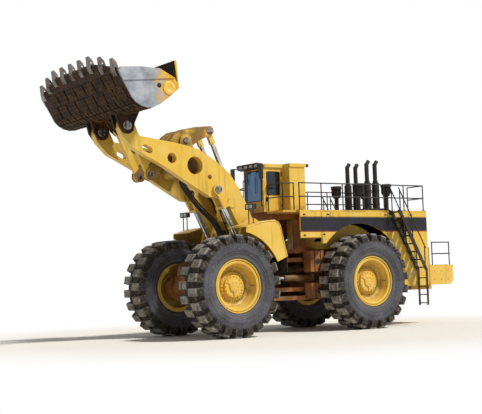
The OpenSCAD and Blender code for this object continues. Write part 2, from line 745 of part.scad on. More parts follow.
// Upper body
hood_rear = -6500;
hood_front = bulkhead_front - 60;
hood_half = 1000;
hood_t = 60;
module engine_hood() color(yellow) at_datum() difference() {
  box(hood_rear, hood_front, -hood_half, hood_half, rail_top + seat_gap, deck_low - seat_gap);
  box(hood_rear + hood_t, hood_front - hood_t, -hood_half + hood_t, hood_half - hood_t, rail_top - 1,
    deck_low - hood_t);
}

walk_half = deck_half - 200;
module deck() color("#4a463c") at_datum() union() {
  box(deck_rear, deck_front, -deck_half, deck_half, deck_low, deck_z);
  pair() box(deck_front - 1, walk_front, cab_half, walk_half, deck_low, deck_z);
}

sill_z = 3610;
panel_low = 3400;
sill_step = -1260;
module arch_cut() {
  drum(rx, tyre_r, deck_half - 200, deck_half + 200, arch_r, $fn = 160);
}

// An opening behind the stairs
module stairwell() {
  prism(deck_half - panel_t - 1, deck_half + 100, [[-4950, band_high + 1], [-5710, band_high + 1],
    [-5720, 3420], [-5480, 3420]]);
}

module side_panels() color(yellow) at_datum() pair() difference() {
  prism(deck_half - panel_t, deck_half, [[deck_front, deck_low - seat_gap], [deck_front, sill_z],
    [sill_step, sill_z], [sill_step, panel_low], [deck_rear, panel_low], [deck_rear, deck_low - seat_gap]]);
  arch_cut();
  stairwell();
}

module band_plates() color("#1f2a36") at_datum() pair() difference() {
  box(deck_rear + 15, deck_front - 15, deck_half + seat_gap, deck_half + 12, band_low, band_high);
  arch_cut();
  stairwell();
}

wing_front = -4960;
wing_low = 1610;
module rear_wings() color(yellow) at_datum() pair() difference() {
  box(deck_rear, wing_front, deck_half - panel_t, deck_half, wing_low, panel_low - seat_gap);
  arch_cut();
}

// Radiator guard: a frame round an opening with level slats
module radiator_grille() color("#2c2c2a") at_datum() union() {
  outer = deck_half - panel_t - seat_gap;
  open_half = 1500;
  open_low = rail_top + 50;
  open_high = deck_low - 120;
  slat = 45;
  slats = 9;
  difference() {
    box(deck_rear, hood_rear - seat_gap, -outer, outer, 1700, deck_low - seat_gap);
    box(deck_rear - 1, hood_rear - hood_t, -open_half, open_half, open_low, open_high);
    box(deck_rear - 1, hood_rear + 1, -tail_half - seat_gap, tail_half + seat_gap, 1600, rail_top + seat_gap);
  }
  for (i = [1 : slats])
    let (z = open_low + (open_high - open_low) * i / (slats + 1))
      box(deck_rear + 20, deck_rear + 80, -open_half - 1, open_half + 1, z - slat / 2, z + slat / 2);
}

bumper_front = -7250 - seat_gap;
bumper_low = 1620;
bumper_top = 2440;
module bumper() color(yellow) at_datum()
  prism(-tail_half, tail_half, [[bumper_front, bumper_low], [bumper_rear + 150, bumper_low],
    [bumper_rear, bumper_low + 180], [bumper_rear, bumper_top], [bumper_front, bumper_top]]);

// Rails: posts with a top bar and a knee bar
module rail_run(x0, x1, y, z0, h, n) {
  union() {
    for (i = [0 : n])
      post(x0 + (x1 - x0) * i / n, y, z0 + seat_gap, z0 + h, rail_r);
    for (z = [z0 + h / 2, z0 + h])
      bar_x(x0 - rail_r, x1 + rail_r, y, z, rail_r);
  }
}

rail_y = deck_half - 80;
module deck_rails() color(black) at_datum() pair() {
  union() {
    rail_run(deck_rear + 80, deck_front - 60, rail_y, deck_z, rail_h, 6);
    for (z = [deck_z + rail_h / 2, deck_z + rail_h])
      bar_y(900, rail_y, deck_rear + 80, z, rail_r);
    post(deck_rear + 80, 900, deck_z + seat_gap, deck_z + rail_h, rail_r);
  }
  rail_run(deck_front + 60, walk_front - 60, walk_half - 80, deck_z, rail_h, 1);
  rail_run(bumper_rear + 100, bumper_front - 250, tail_half - 100, bumper_top, 960, 1);
}

// Stairs up the side with hand rails, over a short ladder
stair_y = deck_half + 40;
stair_w = 480;
string_t = 40;
stair_foot = [-6300, 2240];
stair_run = 1350;
stair_rise = deck_z - 2240;
stair_steps = 8;
ladder_low = 810;
ladder_steps = 4;
grip_h = 900;
module stairs() color(black) at_datum() pair() union() {
  stair_a = atan2(stair_rise, stair_run);
  for (y = [stair_y, stair_y + stair_w]) {
    prism(y, y + string_t, [stair_foot, stair_foot + [150, 0], stair_foot + [150 + stair_run, stair_rise],
      stair_foot + [stair_run, stair_rise]]);
    box(stair_foot[0] + 20, stair_foot[0] + 100, y, y + string_t, ladder_low, stair_foot[1] + 20);
    lean(stair_foot[0] + 75, y + string_t / 2, stair_foot[1] + grip_h, stair_a)
      cylinder(h = norm([stair_run, stair_rise]), r = rail_r);
    for (k = [0.04, 0.5, 0.96])
      post(stair_foot[0] + 75 + stair_run * k, y + string_t / 2, stair_foot[1] + stair_rise * k,
        stair_foot[1] + grip_h + stair_rise * k, rail_r);
  }
  for (i = [0 : stair_steps - 1])
    let (x = stair_foot[0] + 40 + i * stair_run * 0.92 / (stair_steps - 1),
      z = stair_foot[1] + 90 + i * stair_rise * 0.92 / (stair_steps - 1))
      box(x, x + 240, stair_y + 1, stair_y + stair_w + 1, z, z + 40);
  for (i = [0 : ladder_steps - 1])
    let (z = ladder_low + 70 + i * 340)
      box(stair_foot[0] + 30, stair_foot[0] + 90, stair_y + 1, stair_y + stair_w + 1, z, z + 40);
  box(stair_foot[0] + stair_run, stair_foot[0] + stair_run + 150, deck_half + seat_gap, stair_y + 1,
    deck_low - 100, deck_z);
  box(stair_foot[0] + 20, stair_foot[0] + 150, deck_half + seat_gap, stair_y + 1, stair_foot[1] + 20,
    stair_foot[1] + 180);
}

// Cab: a shell with cut windows, the protective frame behind it, roof, glass, seat and door
cab_high = cab_top - 140;
door_rear = -330;
door_front = cab_front - 80;
door_low = deck_z + cab_t;
door_high = cab_top - 210;
window_high = cab_top - 260;
window_low = 5150;
frame_front = -400;
frame_rear = -1160;
door_pin = [door_rear, cab_half + 28];
door_pin_r = 14;
hinge_z = [deck_z + 300, cab_top - 600];
module cab_shell() color("#d8a52c") at_datum() union() {
  difference() {
    union() {
      box(frame_front, cab_front, -cab_half, cab_half, deck_z + seat_gap, cab_high);
      box(frame_rear, frame_front + 1, -guard_half, guard_half, deck_z + seat_gap, cab_high);
    }
    box(frame_rear + cab_t, cab_front - cab_t, -cab_half + cab_t, cab_half - cab_t, door_low, cab_high - cab_t);
    box(cab_front - cab_t - 1, cab_front + 1, -cab_half + 100, cab_half - 100, window_low, window_high);
    box(door_rear, door_front, cab_half - cab_t - 1, cab_half + 1, door_low, door_high);
    box(door_rear, door_front, -cab_half - 1, -cab_half + cab_t + 1, window_low + 150, window_high);
    box(frame_rear - 1, frame_rear + cab_t + 1, -cab_half + 150, cab_half - 150, window_low + 150, window_high);
    pair() box(frame_rear - 1, frame_front - 120, cab_half + 150, guard_half - 110, deck_z + 200,
      cab_high - 200);
  }
  for (z = hinge_z) {
    post(door_pin[0], door_pin[1], z - 50, z + 101, door_pin_r);
    box(frame_front + 2, door_pin[0] - 9, cab_half - 5, door_pin[1] + 10, z - 60, z - 5);
    box(door_pin[0] - 10, door_pin[0] + 14, cab_half + 3, door_pin[1] + 10, z - 60, z - 5);
  }
}

roof_lip = 60;
module cab_roof() color("#d8a52c") at_datum() union() {
  box(frame_front - 1, cab_front + roof_lip, -cab_half - roof_lip, cab_half + roof_lip, cab_high + seat_gap,
    cab_top);
  box(frame_rear - 40, frame_front, -guard_half - 40, guard_half + 40, cab_high + seat_gap, cab_top);
}

glass_t = 20;
module cab_glass() color(tinted, 0.5) at_datum() {
  box(cab_front - 40, cab_front - 40 + glass_t, -cab_half + 100, cab_half - 100, window_low, window_high);
  box(door_rear, door_front, -cab_half + 20, -cab_half + 20 + glass_t, window_low + 150, window_high);
  box(frame_rear + 20, frame_rear + 20 + glass_t, -cab_half + 150, cab_half - 150, window_low + 150,
    window_high);
}

module cab_seat() color("#2a2a2a") at_datum() union() {
  box(-700, -150, -280, 280, 5060, 5200);
  box(-800, -660, -280, 280, 5060, 5900);
  box(-560, -260, -150, 150, door_low + seat_gap, 5070);
}

module cab_console() color("#2a2a2a") at_datum()
  prism(-400, 400, [[cab_front - cab_t - seat_gap, door_low + seat_gap], [cab_front - cab_t - seat_gap, 5140],
    [cab_front - 250, 5100], [cab_front - 310, door_low + seat_gap]]);

door_gap = 8;
door_t = 50;
door_rim = 90;
sill_h = 600;
pane_rear = door_rear + door_gap + door_rim;
pane_front = door_front - door_gap - door_rim;
pane_low = door_low + door_gap + sill_h;
pane_high = door_high - door_gap - door_rim;
module cab_door() color("#d8a52c") at_datum() difference() {
  union() {
    difference() {
      box(door_rear + door_gap, door_front - door_gap, cab_half - door_t, cab_half, door_low + door_gap,
        door_high - door_gap);
      box(pane_rear, pane_front, cab_half - door_t - 1, cab_half + 1, pane_low, pane_high);
    }
    for (z = hinge_z) {
      post(door_pin[0], door_pin[1], z, z + 100, door_pin_r + 12);
      box(door_rear + door_gap, door_rear + door_rim, cab_half - 5, cab_half + 30, z, z + 100);
    }
  }
  post(door_pin[0], door_pin[1], deck_z, cab_top, door_pin_r + pin_gap);
}

module door_glass() color(tinted, 0.5) at_datum()
  box(pane_rear, pane_front, cab_half - 35, cab_half - 35 + glass_t, pane_low, pane_high);

// On the deck
module exhaust_stacks() color(black) at_datum() union() {
  box(-5560, -4540, -860, 860, deck_z + seat_gap, deck_z + 170);
  pair() for (x = [-4820, -5270]) {
    post(x, 620, deck_z + 100, 5950, 155);
    post(x, 620, 5940, 6030, 110);
    post(x, 620, 6000, stack_top - 120, 90);
    translate([x, 620, stack_top - 180]) rotate([0, -35, 0]) cylinder(h = 200, r = 84);
  }
}

module air_cleaners() color(black) at_datum() pair() for (x = [-4230, -5780]) union() {
  post(x, 700, deck_z + seat_gap, deck_z + 120, 150);
  post(x, 700, deck_z + 100, 5450, 90);
  post(x, 700, 5400, 5480, 150);
  post(x, 700, 5470, 5820, 190);
  post(x, 700, 5810, 5900, 225);
}

// A bar of four lamps across the roof's front and a lamp at each rear corner
module roof_lamps() color(black) at_datum() {
  bar_back = cab_front + roof_lip + seat_gap;
  bar_half = cab_half + roof_lip;
  lamp_w = 260;
  difference() {
    prism(-bar_half, bar_half, [[bar_back, cab_top - 190], [bar_back + 170, cab_top - 150],
      [bar_back + 240, cab_top + 30], [bar_back, cab_top + 10]]);
    for (i = [-1.5 : 1 : 1.5])
      box(bar_back + 150, bar_back + 260, i * 350 - lamp_w / 2, i * 350 + lamp_w / 2, cab_top - 120, cab_top);
  }
  pair() box(frame_rear - 170, frame_rear - 40 - seat_gap, guard_half - 80, guard_half + 40, cab_top - 130,
    cab_top - 10);
}

module mirrors() color(black) at_datum() pair() union() {
  arm_y = cab_half + roof_lip + seat_gap;
  arm_x = cab_front + 330;
  box(cab_front - 40, arm_x, arm_y, arm_y + 40, cab_high + 30, cab_high + 70);
  box(arm_x - 40, arm_x, arm_y, arm_y + 260, cab_high + 30, cab_high + 70);
  box(arm_x - 50, arm_x + 10, arm_y + 150, arm_y + 370, cab_high - 480, cab_high + 80);
}

// Boxes on the bulkhead, one above and one below each steering cylinder
module side_tanks() color(dark) at_datum() pair() {
  tank_in = 960;
  tank_out = 1400;
  for (z = [[1280, 1880], [2310, 3140]])
    box(bulkhead_front + seat_gap, -1050, tank_in, tank_out, z[0], z[1]);
}

module drawbar() color(dark) at_datum() difference() {
  box(bumper_rear, bumper_rear + 1200, -260, 260, bumper_low - 200, bumper_low - seat_gap);
  post(bumper_rear + 160, 0, 1300, 1700, 60);
}

rear_frame();
rear_axle();
engine_block();
engine_hood();
deck();
deck_rails();
side_panels();
band_plates();
rear_wings();
radiator_grille();
bumper();
stairs();
cab_shell();
cab_roof();
cab_glass();
cab_seat();
cab_console();
exhaust_stacks();
air_cleaners();
roof_lamps();
mirrors();
side_tanks();
drawbar();
hitch_pins();
front_frame();
front_towers();
tower_pins();
front_axle();
front_fenders();
fender_lamps();
boom();
bucket_shell();
bucket_teeth();
wear_plates();
tilt_levers();
tilt_links();
tilt_trunnion();
tilt_barrels();
tilt_rods();
lift_barrels();
lift_rods();
steer_barrel_left();
steer_rod_left();
steer_barrel_right();
steer_rod_right();
cab_door();
door_glass();
tyre_front_left();
rim_front_left();
tyre_front_right();
rim_front_right();
tyre_rear_left();
rim_rear_left();
tyre_rear_right();
rim_rear_right();
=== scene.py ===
"""Looks of a large mining wheel loader, dressed over its CAD frame, in metres."""

import json
import math

import bmesh
import bpy
from bpy.props import FloatProperty, FloatVectorProperty, IntProperty, PointerProperty
from mathutils import Matrix, Vector
from mathutils.geometry import interpolate_bezier


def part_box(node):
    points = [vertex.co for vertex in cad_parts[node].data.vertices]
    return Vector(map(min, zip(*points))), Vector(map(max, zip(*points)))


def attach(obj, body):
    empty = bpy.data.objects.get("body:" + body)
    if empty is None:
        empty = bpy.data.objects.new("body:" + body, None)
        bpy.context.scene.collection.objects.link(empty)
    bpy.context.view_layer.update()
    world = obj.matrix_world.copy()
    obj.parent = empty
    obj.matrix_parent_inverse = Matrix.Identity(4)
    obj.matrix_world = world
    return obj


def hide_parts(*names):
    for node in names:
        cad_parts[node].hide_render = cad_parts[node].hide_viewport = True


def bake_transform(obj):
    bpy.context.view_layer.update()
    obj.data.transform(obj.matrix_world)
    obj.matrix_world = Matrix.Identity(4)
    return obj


bl_info = {
    "name": "Wheel loader looks",
    "version": (1, 1, 0),
    "blender": (4, 5, 0),
    "location": "View3D > Sidebar > Loader",
    "description": "Paint, wear, fasteners, hoses and trim of a large wheel loader",
    "category": "Object",
}

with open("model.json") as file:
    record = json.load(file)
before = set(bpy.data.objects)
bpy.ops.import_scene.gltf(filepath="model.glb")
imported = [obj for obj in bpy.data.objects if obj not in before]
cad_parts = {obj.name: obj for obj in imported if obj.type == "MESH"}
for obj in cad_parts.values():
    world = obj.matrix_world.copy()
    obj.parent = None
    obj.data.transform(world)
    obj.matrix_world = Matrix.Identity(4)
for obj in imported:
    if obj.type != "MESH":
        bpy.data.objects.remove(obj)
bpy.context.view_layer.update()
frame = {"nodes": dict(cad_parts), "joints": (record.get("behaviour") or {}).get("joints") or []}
JOINTS = {joint["name"]: joint for joint in frame["joints"]}
WHEELS = ("front_left", "front_right", "rear_left", "rear_right")
# Left, then right
SIDES = (1, -1)
AHEAD = Vector((1, 0, 0))
LEFT = Vector((0, 1, 0))
UP = Vector((0, 0, 1))
# Outlines count forward from the hitch, which the frame sets a little ahead of its middle
HITCH_X = JOINTS["steer"]["pos_m"][0]
AXLE_X = JOINTS["spin_front_left"]["pos_m"][0] - HITCH_X
AXLE_Z = JOINTS["spin_front_left"]["pos_m"][2]
DECK_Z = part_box("deck")[1][2]
PANEL_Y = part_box("side_panels")[1][1]
CAB_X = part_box("cab_shell")[1][0] - HITCH_X
BUMPER_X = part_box("bumper")[0][0] - HITCH_X
BUMPER_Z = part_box("bumper")[1][2]
# Pins of the working gear that no joint turns on, ahead of the hitch and above the ground
LINK_EAR = (6.3, 7.72)
LIFT_FORK = (3.02, 5.48)
LEVER_TOP = (2.89, 7.77)
BUCKET_TURN = math.radians(-60)
# The bucket's lip: its straight nose reaches NOSE_X, then falls back by LIP_SLOPE a metre
NOSE_X = 2.45
NOSE_HALF = 1.40
LIP_SLOPE = 0.2713
TOOTH_PITCH = 0.7
# The bucket's side plates stand beyond its shell from here
CHEEK_Y = 3.06
# The seat's pads: grain of the cloth run, its pressure and steps, and the most that a pad swells
PAD_VOXEL = 0.012
PAD_PRESSURE = 4.0
PAD_FRAMES = 20
PAD_SWELL = 0.022
# Dust thins out between these heights
DUST_FOOT = 0.6
DUST_TOP = 4.2


def linear(code):
    """Linear RGBA of an sRGB hex colour."""
    channels = [int(code[i : i + 2], 16) / 255 for i in (1, 3, 5)]
    return tuple(c / 12.92 if c <= 0.04045 else ((c + 0.055) / 1.055) ** 2.4 for c in channels) + (1.0,)


def tint(name, description, code):
    """A colour property that starts from an sRGB hex value."""
    return FloatVectorProperty(
        name=name, description=description, subtype="COLOR", size=4, min=0, max=1, default=linear(code)
    )


def length(name, description, default):
    """A length property in metres."""
    return FloatProperty(name=name, description=description, unit="LENGTH", min=0, default=default)


def angle(name, description, degrees):
    """An angle property that starts from degrees."""
    return FloatProperty(name=name, description=description, subtype="ANGLE", default=math.radians(degrees))


class PaintSettings(bpy.types.PropertyGroup):
    """Colours of the machine's finishes"""

    yellow: tint("Machine yellow", "Sprayed enamel of the body and the boom", "#DBB03C")
    faded: tint("Faded yellow", "Enamel bleached and chalked by the sun", "#DFBA58")
    # Partly painted shade: this brown stands for oil-stained dirt and for yellow frames in shadow
    grime: tint("Grime", "Oily dirt on the frames between the wheels", "#63401F")
    band: tint("Dark band", "Enamel of the side band", "#0E0F17")
    stripe: tint("Band stripe", "Thin line under the band", "#7A3B2A")
    dust: tint("Dust", "Dry earth that settles on the machine", "#B99A6B")
    rubber: tint("Tyre rubber", "Rubber under the dust", "#3C3C42")
    lens: tint("Lamp lens", "Clear lamp glass", "#DAD8CE")


class StageSettings(bpy.types.PropertyGroup):
    """Camera, floor and light"""

    camera_place: FloatVectorProperty(
        name="Camera place",
        description="From the hitch and the ground",
        subtype="TRANSLATION",
        default=(25.62, 35.24, 2.06),
    )
    camera_yaw: angle("Camera yaw", "Heading of the view", 235.27)
    camera_pitch: angle("Camera pitch", "Tilt above level", 3.83)
    camera_roll: angle("Camera roll", "Turn about the view", -2.01)
    camera_lens: FloatProperty(
        name="Camera lens", description="Focal length on a 36 mm sensor", unit="CAMERA", default=82.26
    )
    sun_strength: FloatProperty(name="Key light", description="Strength of the key light", default=3.5)
    sky_strength: FloatProperty(name="Fill light", description="Strength of the fill light", default=0.27)
    floor_tone: tint("Floor", "Pale studio floor", "#EAE4D8")


class FastenerSettings(bpy.types.PropertyGroup):
    """Wheel nuts, hoses, lines and seals"""

    nut_across: length("Wheel nut", "Width across the corners of a wheel nut", 0.052)
    nut_count: IntProperty(name="Wheel nuts", description="Nuts in one wheel's ring", min=6, default=40)
    hose_radius: length("Hose", "Radius of a hydraulic hose", 0.034)
    line_radius: length("Steel line", "Radius of a steel hydraulic line", 0.022)
    seal_radius: length("Window seal", "Radius of a rubber window seal", 0.016)


def paint(name):
    """A paint setting as a plain colour."""
    return tuple(getattr(bpy.context.scene.loader_paint, name))


def stage():
    """The stage settings."""
    return bpy.context.scene.loader_stage


def fasteners():
    """The sizes of fasteners, hoses and seals."""
    return bpy.context.scene.loader_fasteners


def at(x, y, z):
    """A point of the frame from its distance ahead of the hitch, to the left and above the ground."""
    return Vector((x + HITCH_X, y, z))


# Shader helpers

# Kinds of node, each with the settings that it is used with
KINDS = {
    "place": ("ShaderNodeTexCoord", {}),
    "surface": ("ShaderNodeNewGeometry", {}),
    "turn": ("ShaderNodeMapping", {}),
    "split": ("ShaderNodeSeparateXYZ", {}),
    "join": ("ShaderNodeCombineXYZ", {}),
    "length": ("ShaderNodeVectorMath", {"operation": "LENGTH"}),
    "dot": ("ShaderNodeVectorMath", {"operation": "DOT_PRODUCT"}),
    "plus": ("ShaderNodeMath", {"operation": "ADD"}),
    "minus": ("ShaderNodeMath", {"operation": "SUBTRACT"}),
    "times": ("ShaderNodeMath", {"operation": "MULTIPLY"}),
    "most": ("ShaderNodeMath", {"operation": "MAXIMUM"}),
    "size": ("ShaderNodeMath", {"operation": "ABSOLUTE"}),
    "over": ("ShaderNodeMath", {"operation": "GREATER_THAN"}),
    "under": ("ShaderNodeMath", {"operation": "LESS_THAN"}),
    "noise": ("ShaderNodeTexNoise", {}),
    "blocks": ("ShaderNodeTexBrick", {}),
    "bars": ("ShaderNodeTexWave", {"bands_direction": "DIAGONAL"}),
    "ribs": ("ShaderNodeTexWave", {"bands_direction": "Z"}),
    "rounded": ("ShaderNodeBevel", {"samples": 6}),
    "bump": ("ShaderNodeBump", {}),
    "step": ("ShaderNodeMapRange", {"interpolation_type": "SMOOTHSTEP"}),
    "blend": ("ShaderNodeMix", {"data_type": "RGBA"}),
    "rays": ("ShaderNodeLightPath", {}),
    "sky": ("ShaderNodeBackground", {}),
    "glow": ("ShaderNodeEmission", {}),
    "either": ("ShaderNodeMixShader", {}),
    "world": ("ShaderNodeOutputWorld", {}),
}


def wire(node, *inputs, **named):
    """Links or sets a node's inputs, the first ones in order and the rest by name, with _ for a space."""
    usable = [socket for socket in node.inputs if socket.enabled]
    pairs = list(zip(usable, inputs))
    for key, value in named.items():
        pairs.append((next(socket for socket in usable if socket.name == key.replace("_", " ")), value))
    for socket, value in pairs:
        if isinstance(value, bpy.types.NodeSocket):
            node.id_data.links.new(value, socket)
        else:
            socket.default_value = value


def add(tree, kind, *inputs, **named):
    """Adds a node with its settings and links, and gives its first output."""
    node_type, settings = KINDS[kind]
    node = tree.nodes.new(node_type)
    for key, value in settings.items():
        setattr(node, key, value)
    wire(node, *inputs, **named)
    return next((socket for socket in node.outputs if socket.enabled), None)


def new_finish(name):
    """A new material with its tree and Object coordinates."""
    made = bpy.data.materials.new(name)
    made.use_nodes = True
    return made, made.node_tree, add(made.node_tree, "place").node.outputs["Object"]


def shade(made, **inputs):
    """Wires a material's Principled shader and gives the material."""
    wire(made.node_tree.nodes["Principled BSDF"], **inputs)
    return made


def patches(place, size_mm, low, high, detail=4.0):
    """Noise of a given feature size, stretched so that it runs from 0 at low to 1 at high."""
    tree = place.id_data
    return add(tree, "step", add(tree, "noise", place, 1000.0 / size_mm, detail), low, high)


def mottled(place, size_mm, low, high, under, over, detail=4.0):
    """One colour clouded with another by noise of a given feature size."""
    return add(place.id_data, "blend", patches(place, size_mm, low, high, detail), under, over)


def sunned(place, size_mm=900.0):
    """The machine's yellow with broad patches that the sun has faded."""
    return mottled(place, size_mm, 0.35, 0.7, paint("yellow"), paint("faded"))


def axle_radius(place):
    """Distance from the nearest axle line, so that a wheel can be finished by radius."""
    tree = place.id_data
    parts = add(tree, "split", place).node.outputs
    from_hitch = add(tree, "size", add(tree, "minus", parts["X"], HITCH_X))
    ahead = add(tree, "minus", from_hitch, AXLE_X)
    above = add(tree, "minus", parts["Z"], AXLE_Z)
    return add(tree, "length", add(tree, "join", ahead, 0.0, above))


def settled_dust(place, amount):
    """Mask of dust: more near the ground and on faces that look up, broken up by noise."""
    tree = place.id_data
    low = add(tree, "step", add(tree, "split", place).node.outputs["Z"], DUST_TOP, DUST_FOOT, 0.12, 0.8)
    normal = add(tree, "surface").node.outputs["Normal"]
    top = add(tree, "step", add(tree, "split", normal).node.outputs["Z"], 0.4, 1.0, 0.0, 0.6)
    cloudy = patches(place, 420.0, 0.35, 0.75, 6.0)
    return add(tree, "times", add(tree, "times", add(tree, "most", low, top), cloudy), amount)


def rubbed_edges(place, radius, amount):
    """Mask of edges where handling and stones rub the paint, and the rounded normal it comes from."""
    tree = place.id_data
    rounded = add(tree, "rounded", radius)
    along = add(tree, "dot", rounded, add(tree, "surface").node.outputs["Normal"])
    chips = patches(place, 60.0, 0.42, 0.62, 5.0)
    worn = add(tree, "times", add(tree, "step", along, 0.995, 0.80), chips)
    return add(tree, "times", worn, amount), rounded


def streaks(place, amount):
    """Mask of runs of dirty water down upright faces: noise drawn out along Z."""
    tree = place.id_data
    pulled = add(tree, "turn", place, Scale=(7.0, 7.0, 0.45))
    return add(tree, "times", patches(pulled, 1000.0, 0.52, 0.78, 3.0), amount)


def coat(made, place, colour, worn, roughness, dust=0.35, wear=0.6, edge=0.012, run=0.3):
    """Finishes paint on plate: dirt runs, rubbed edges, dust that settles low and on top, orange peel."""
    tree = place.id_data
    colour = add(tree, "blend", streaks(place, run), colour, linear("#4A3319"))
    edges, rounded = rubbed_edges(place, edge, wear)
    colour = add(tree, "blend", edges, colour, linear(worn))
    film = settled_dust(place, dust)
    colour = add(tree, "blend", film, colour, paint("dust"))
    rough = add(tree, "plus", add(tree, "times", film, 0.4), roughness)
    # Orange peel is about 3 mm across, drawn at 14 mm so that it shows
    peel = patches(place, 14.0, 0.3, 0.7, 2.0)
    bump = add(tree, "bump", Strength=0.06, Distance=0.002, Height=peel, Normal=rounded)
    return shade(made, Base_Color=colour, Roughness=rough, Normal=bump, IOR=1.5, Specular_IOR_Level=0.35)


def weathered(name, under, over, worn, roughness, dust=0.38, wear=0.7, patch_mm=900.0, edge=0.012, run=0.25):
    """A coat of one colour clouded with another under its wear."""
    made, tree, place = new_finish(name)
    colour = add(tree, "blend", patches(place, patch_mm, 0.35, 0.7), under, over)
    return coat(made, place, colour, worn, roughness, dust, wear, edge, run)


# Finishes


def yellow_enamel():
    """Sprayed alkyd enamel on welded plate: warm, half glossy, chalky where the sun bleached it."""
    return weathered("Enamel_yellow", paint("yellow"), paint("faded"), "#7C6238", 0.42)


def boom_enamel():
    """Boom enamel: yellow outside, brown between the two arms as painted shade with some grease, broken up by
    noise.
    """
    made, tree, place = new_finish("Enamel_boom")
    across = add(tree, "size", add(tree, "split", place).node.outputs["Y"])
    # Painted shade: the inner faces of the arms and the levers between them go brown as if in shadow
    between = add(tree, "step", across, 0.835, 0.80, 0.0, 0.85)
    shade_between_arms = add(tree, "times", between, patches(place, 420.0, 0.15, 0.6, 5.0))
    colour = add(tree, "blend", shade_between_arms, sunned(place), linear("#5F3D1A"))
    return coat(made, place, colour, "#7C6238", 0.42, 0.4, 0.7)


def rim_enamel():
    """The same enamel on the wheels: darker brown in the recess round the hub, part mud and grease and part
    painted shade.
    """
    made, tree, place = new_finish("Enamel_rim")
    radius = axle_radius(place)
    # Painted shade with the mud: the recess round the hub is darkened as if in its own shadow
    inner = add(tree, "step", radius, 0.44, 0.56)
    outer = add(tree, "step", radius, 0.80, 0.70)
    caked = add(tree, "times", add(tree, "times", inner, outer), 0.45)
    broken = add(tree, "times", caked, patches(place, 170.0, 0.25, 0.6, 5.0))
    colour = add(tree, "blend", broken, sunned(place, 300.0), linear("#5A3C18"))
    return coat(made, place, colour, "#7C6238", 0.45, edge=0.01, run=0.15)


def grimed_shaded_enamel():
    """The same enamel under oil-stained red-brown dirt and painted shade between the wheels, dirty yellow
    towards the tail.
    """
    made, tree, place = new_finish("Enamel_grimed")
    cloudy = patches(place, 600.0, 0.35, 0.7, 5.0)
    # Painted shade mixed with oily dirt: the yellow frames between the wheels are shown brown as if in shadow
    oily = add(tree, "blend", cloudy, linear("#A0622B"), paint("grime"))
    ahead = add(tree, "split", place).node.outputs["X"]
    uneven = add(tree, "plus", ahead, add(tree, "times", cloudy, 0.8))
    tail = add(tree, "step", uneven, HITCH_X - 4.6, HITCH_X - 6.0, 0.0, 0.8)
    colour = add(tree, "blend", tail, oily, linear("#BF9132"))
    return coat(made, place, colour, "#6B5234", 0.6, 0.45, 0.7)


def tower_enamel():
    """Front frame enamel: yellow above, going dark brown towards the axle as painted shade."""
    made, tree, place = new_finish("Enamel_tower")
    cloudy = patches(place, 500.0, 0.3, 0.7, 5.0)
    colour = add(tree, "blend", cloudy, paint("yellow"), paint("faded"))
    height = add(tree, "split", place).node.outputs["Z"]
    uneven = add(tree, "plus", height, add(tree, "times", cloudy, 0.6))
    # Painted shade: darker brown below about 4 m, as if the lower frame were in shadow
    dirty = add(tree, "step", uneven, 4.1, 3.2, 0.0, 0.9)
    colour = add(tree, "blend", dirty, colour, linear("#4A2E15"))
    return coat(made, place, colour, "#6B5233", 0.5, 0.45, 0.7)


def band_enamel():
    """Dark blue-black enamel of the side band: glossier than the rest, so dust reads pale on it."""
    return weathered("Enamel_band", paint("band"), linear("#151724"), "#6C6A62", 0.4, dust=0.08, run=0.05)


def side_enamel():
    """Side panel enamel: yellow with a thin red-brown line just below the band."""
    made, tree, place = new_finish("Enamel_side_panel")
    height = add(tree, "split", place).node.outputs["Z"]
    line = add(tree, "times", add(tree, "over", height, 3.84), add(tree, "under", height, 3.90))
    colour = add(tree, "blend", line, sunned(place), paint("stripe"))
    return coat(made, place, colour, "#7C6238", 0.4)


def cab_enamel():
    """Cab enamel: yellow, with painted shade in brown patches on the front wall below the windscreen."""
    made, tree, place = new_finish("Enamel_cab")
    ahead = add(tree, "split", place).node.outputs["X"]
    # Painted shade: the front wall below the windscreen goes brown in patches as if in shadow
    front = add(tree, "step", ahead, HITCH_X + 0.535, HITCH_X + 0.555, 0.0, 0.6)
    front_wall_shade = add(tree, "times", front, patches(place, 260.0, 0.2, 0.7, 5.0))
    colour = add(tree, "blend", front_wall_shade, sunned(place, 700.0), linear("#6B4A22"))
    return coat(made, place, colour, "#7C6238", 0.42, run=0.2)


def black_powder():
    """Black powder coat on rails, stairs and mirrors: matt, slightly grey with dust."""
    return weathered("Powder_coat_black", linear("#161617"), linear("#232220"), "#4B4842", 0.5, dust=0.25)


def heat_black():
    """High-temperature black on the stacks: matt, browned where the gas heats it."""
    return weathered("Heat_paint_black", linear("#101012"), linear("#231C18"), "#3F3329", 0.62, dust=0.1)


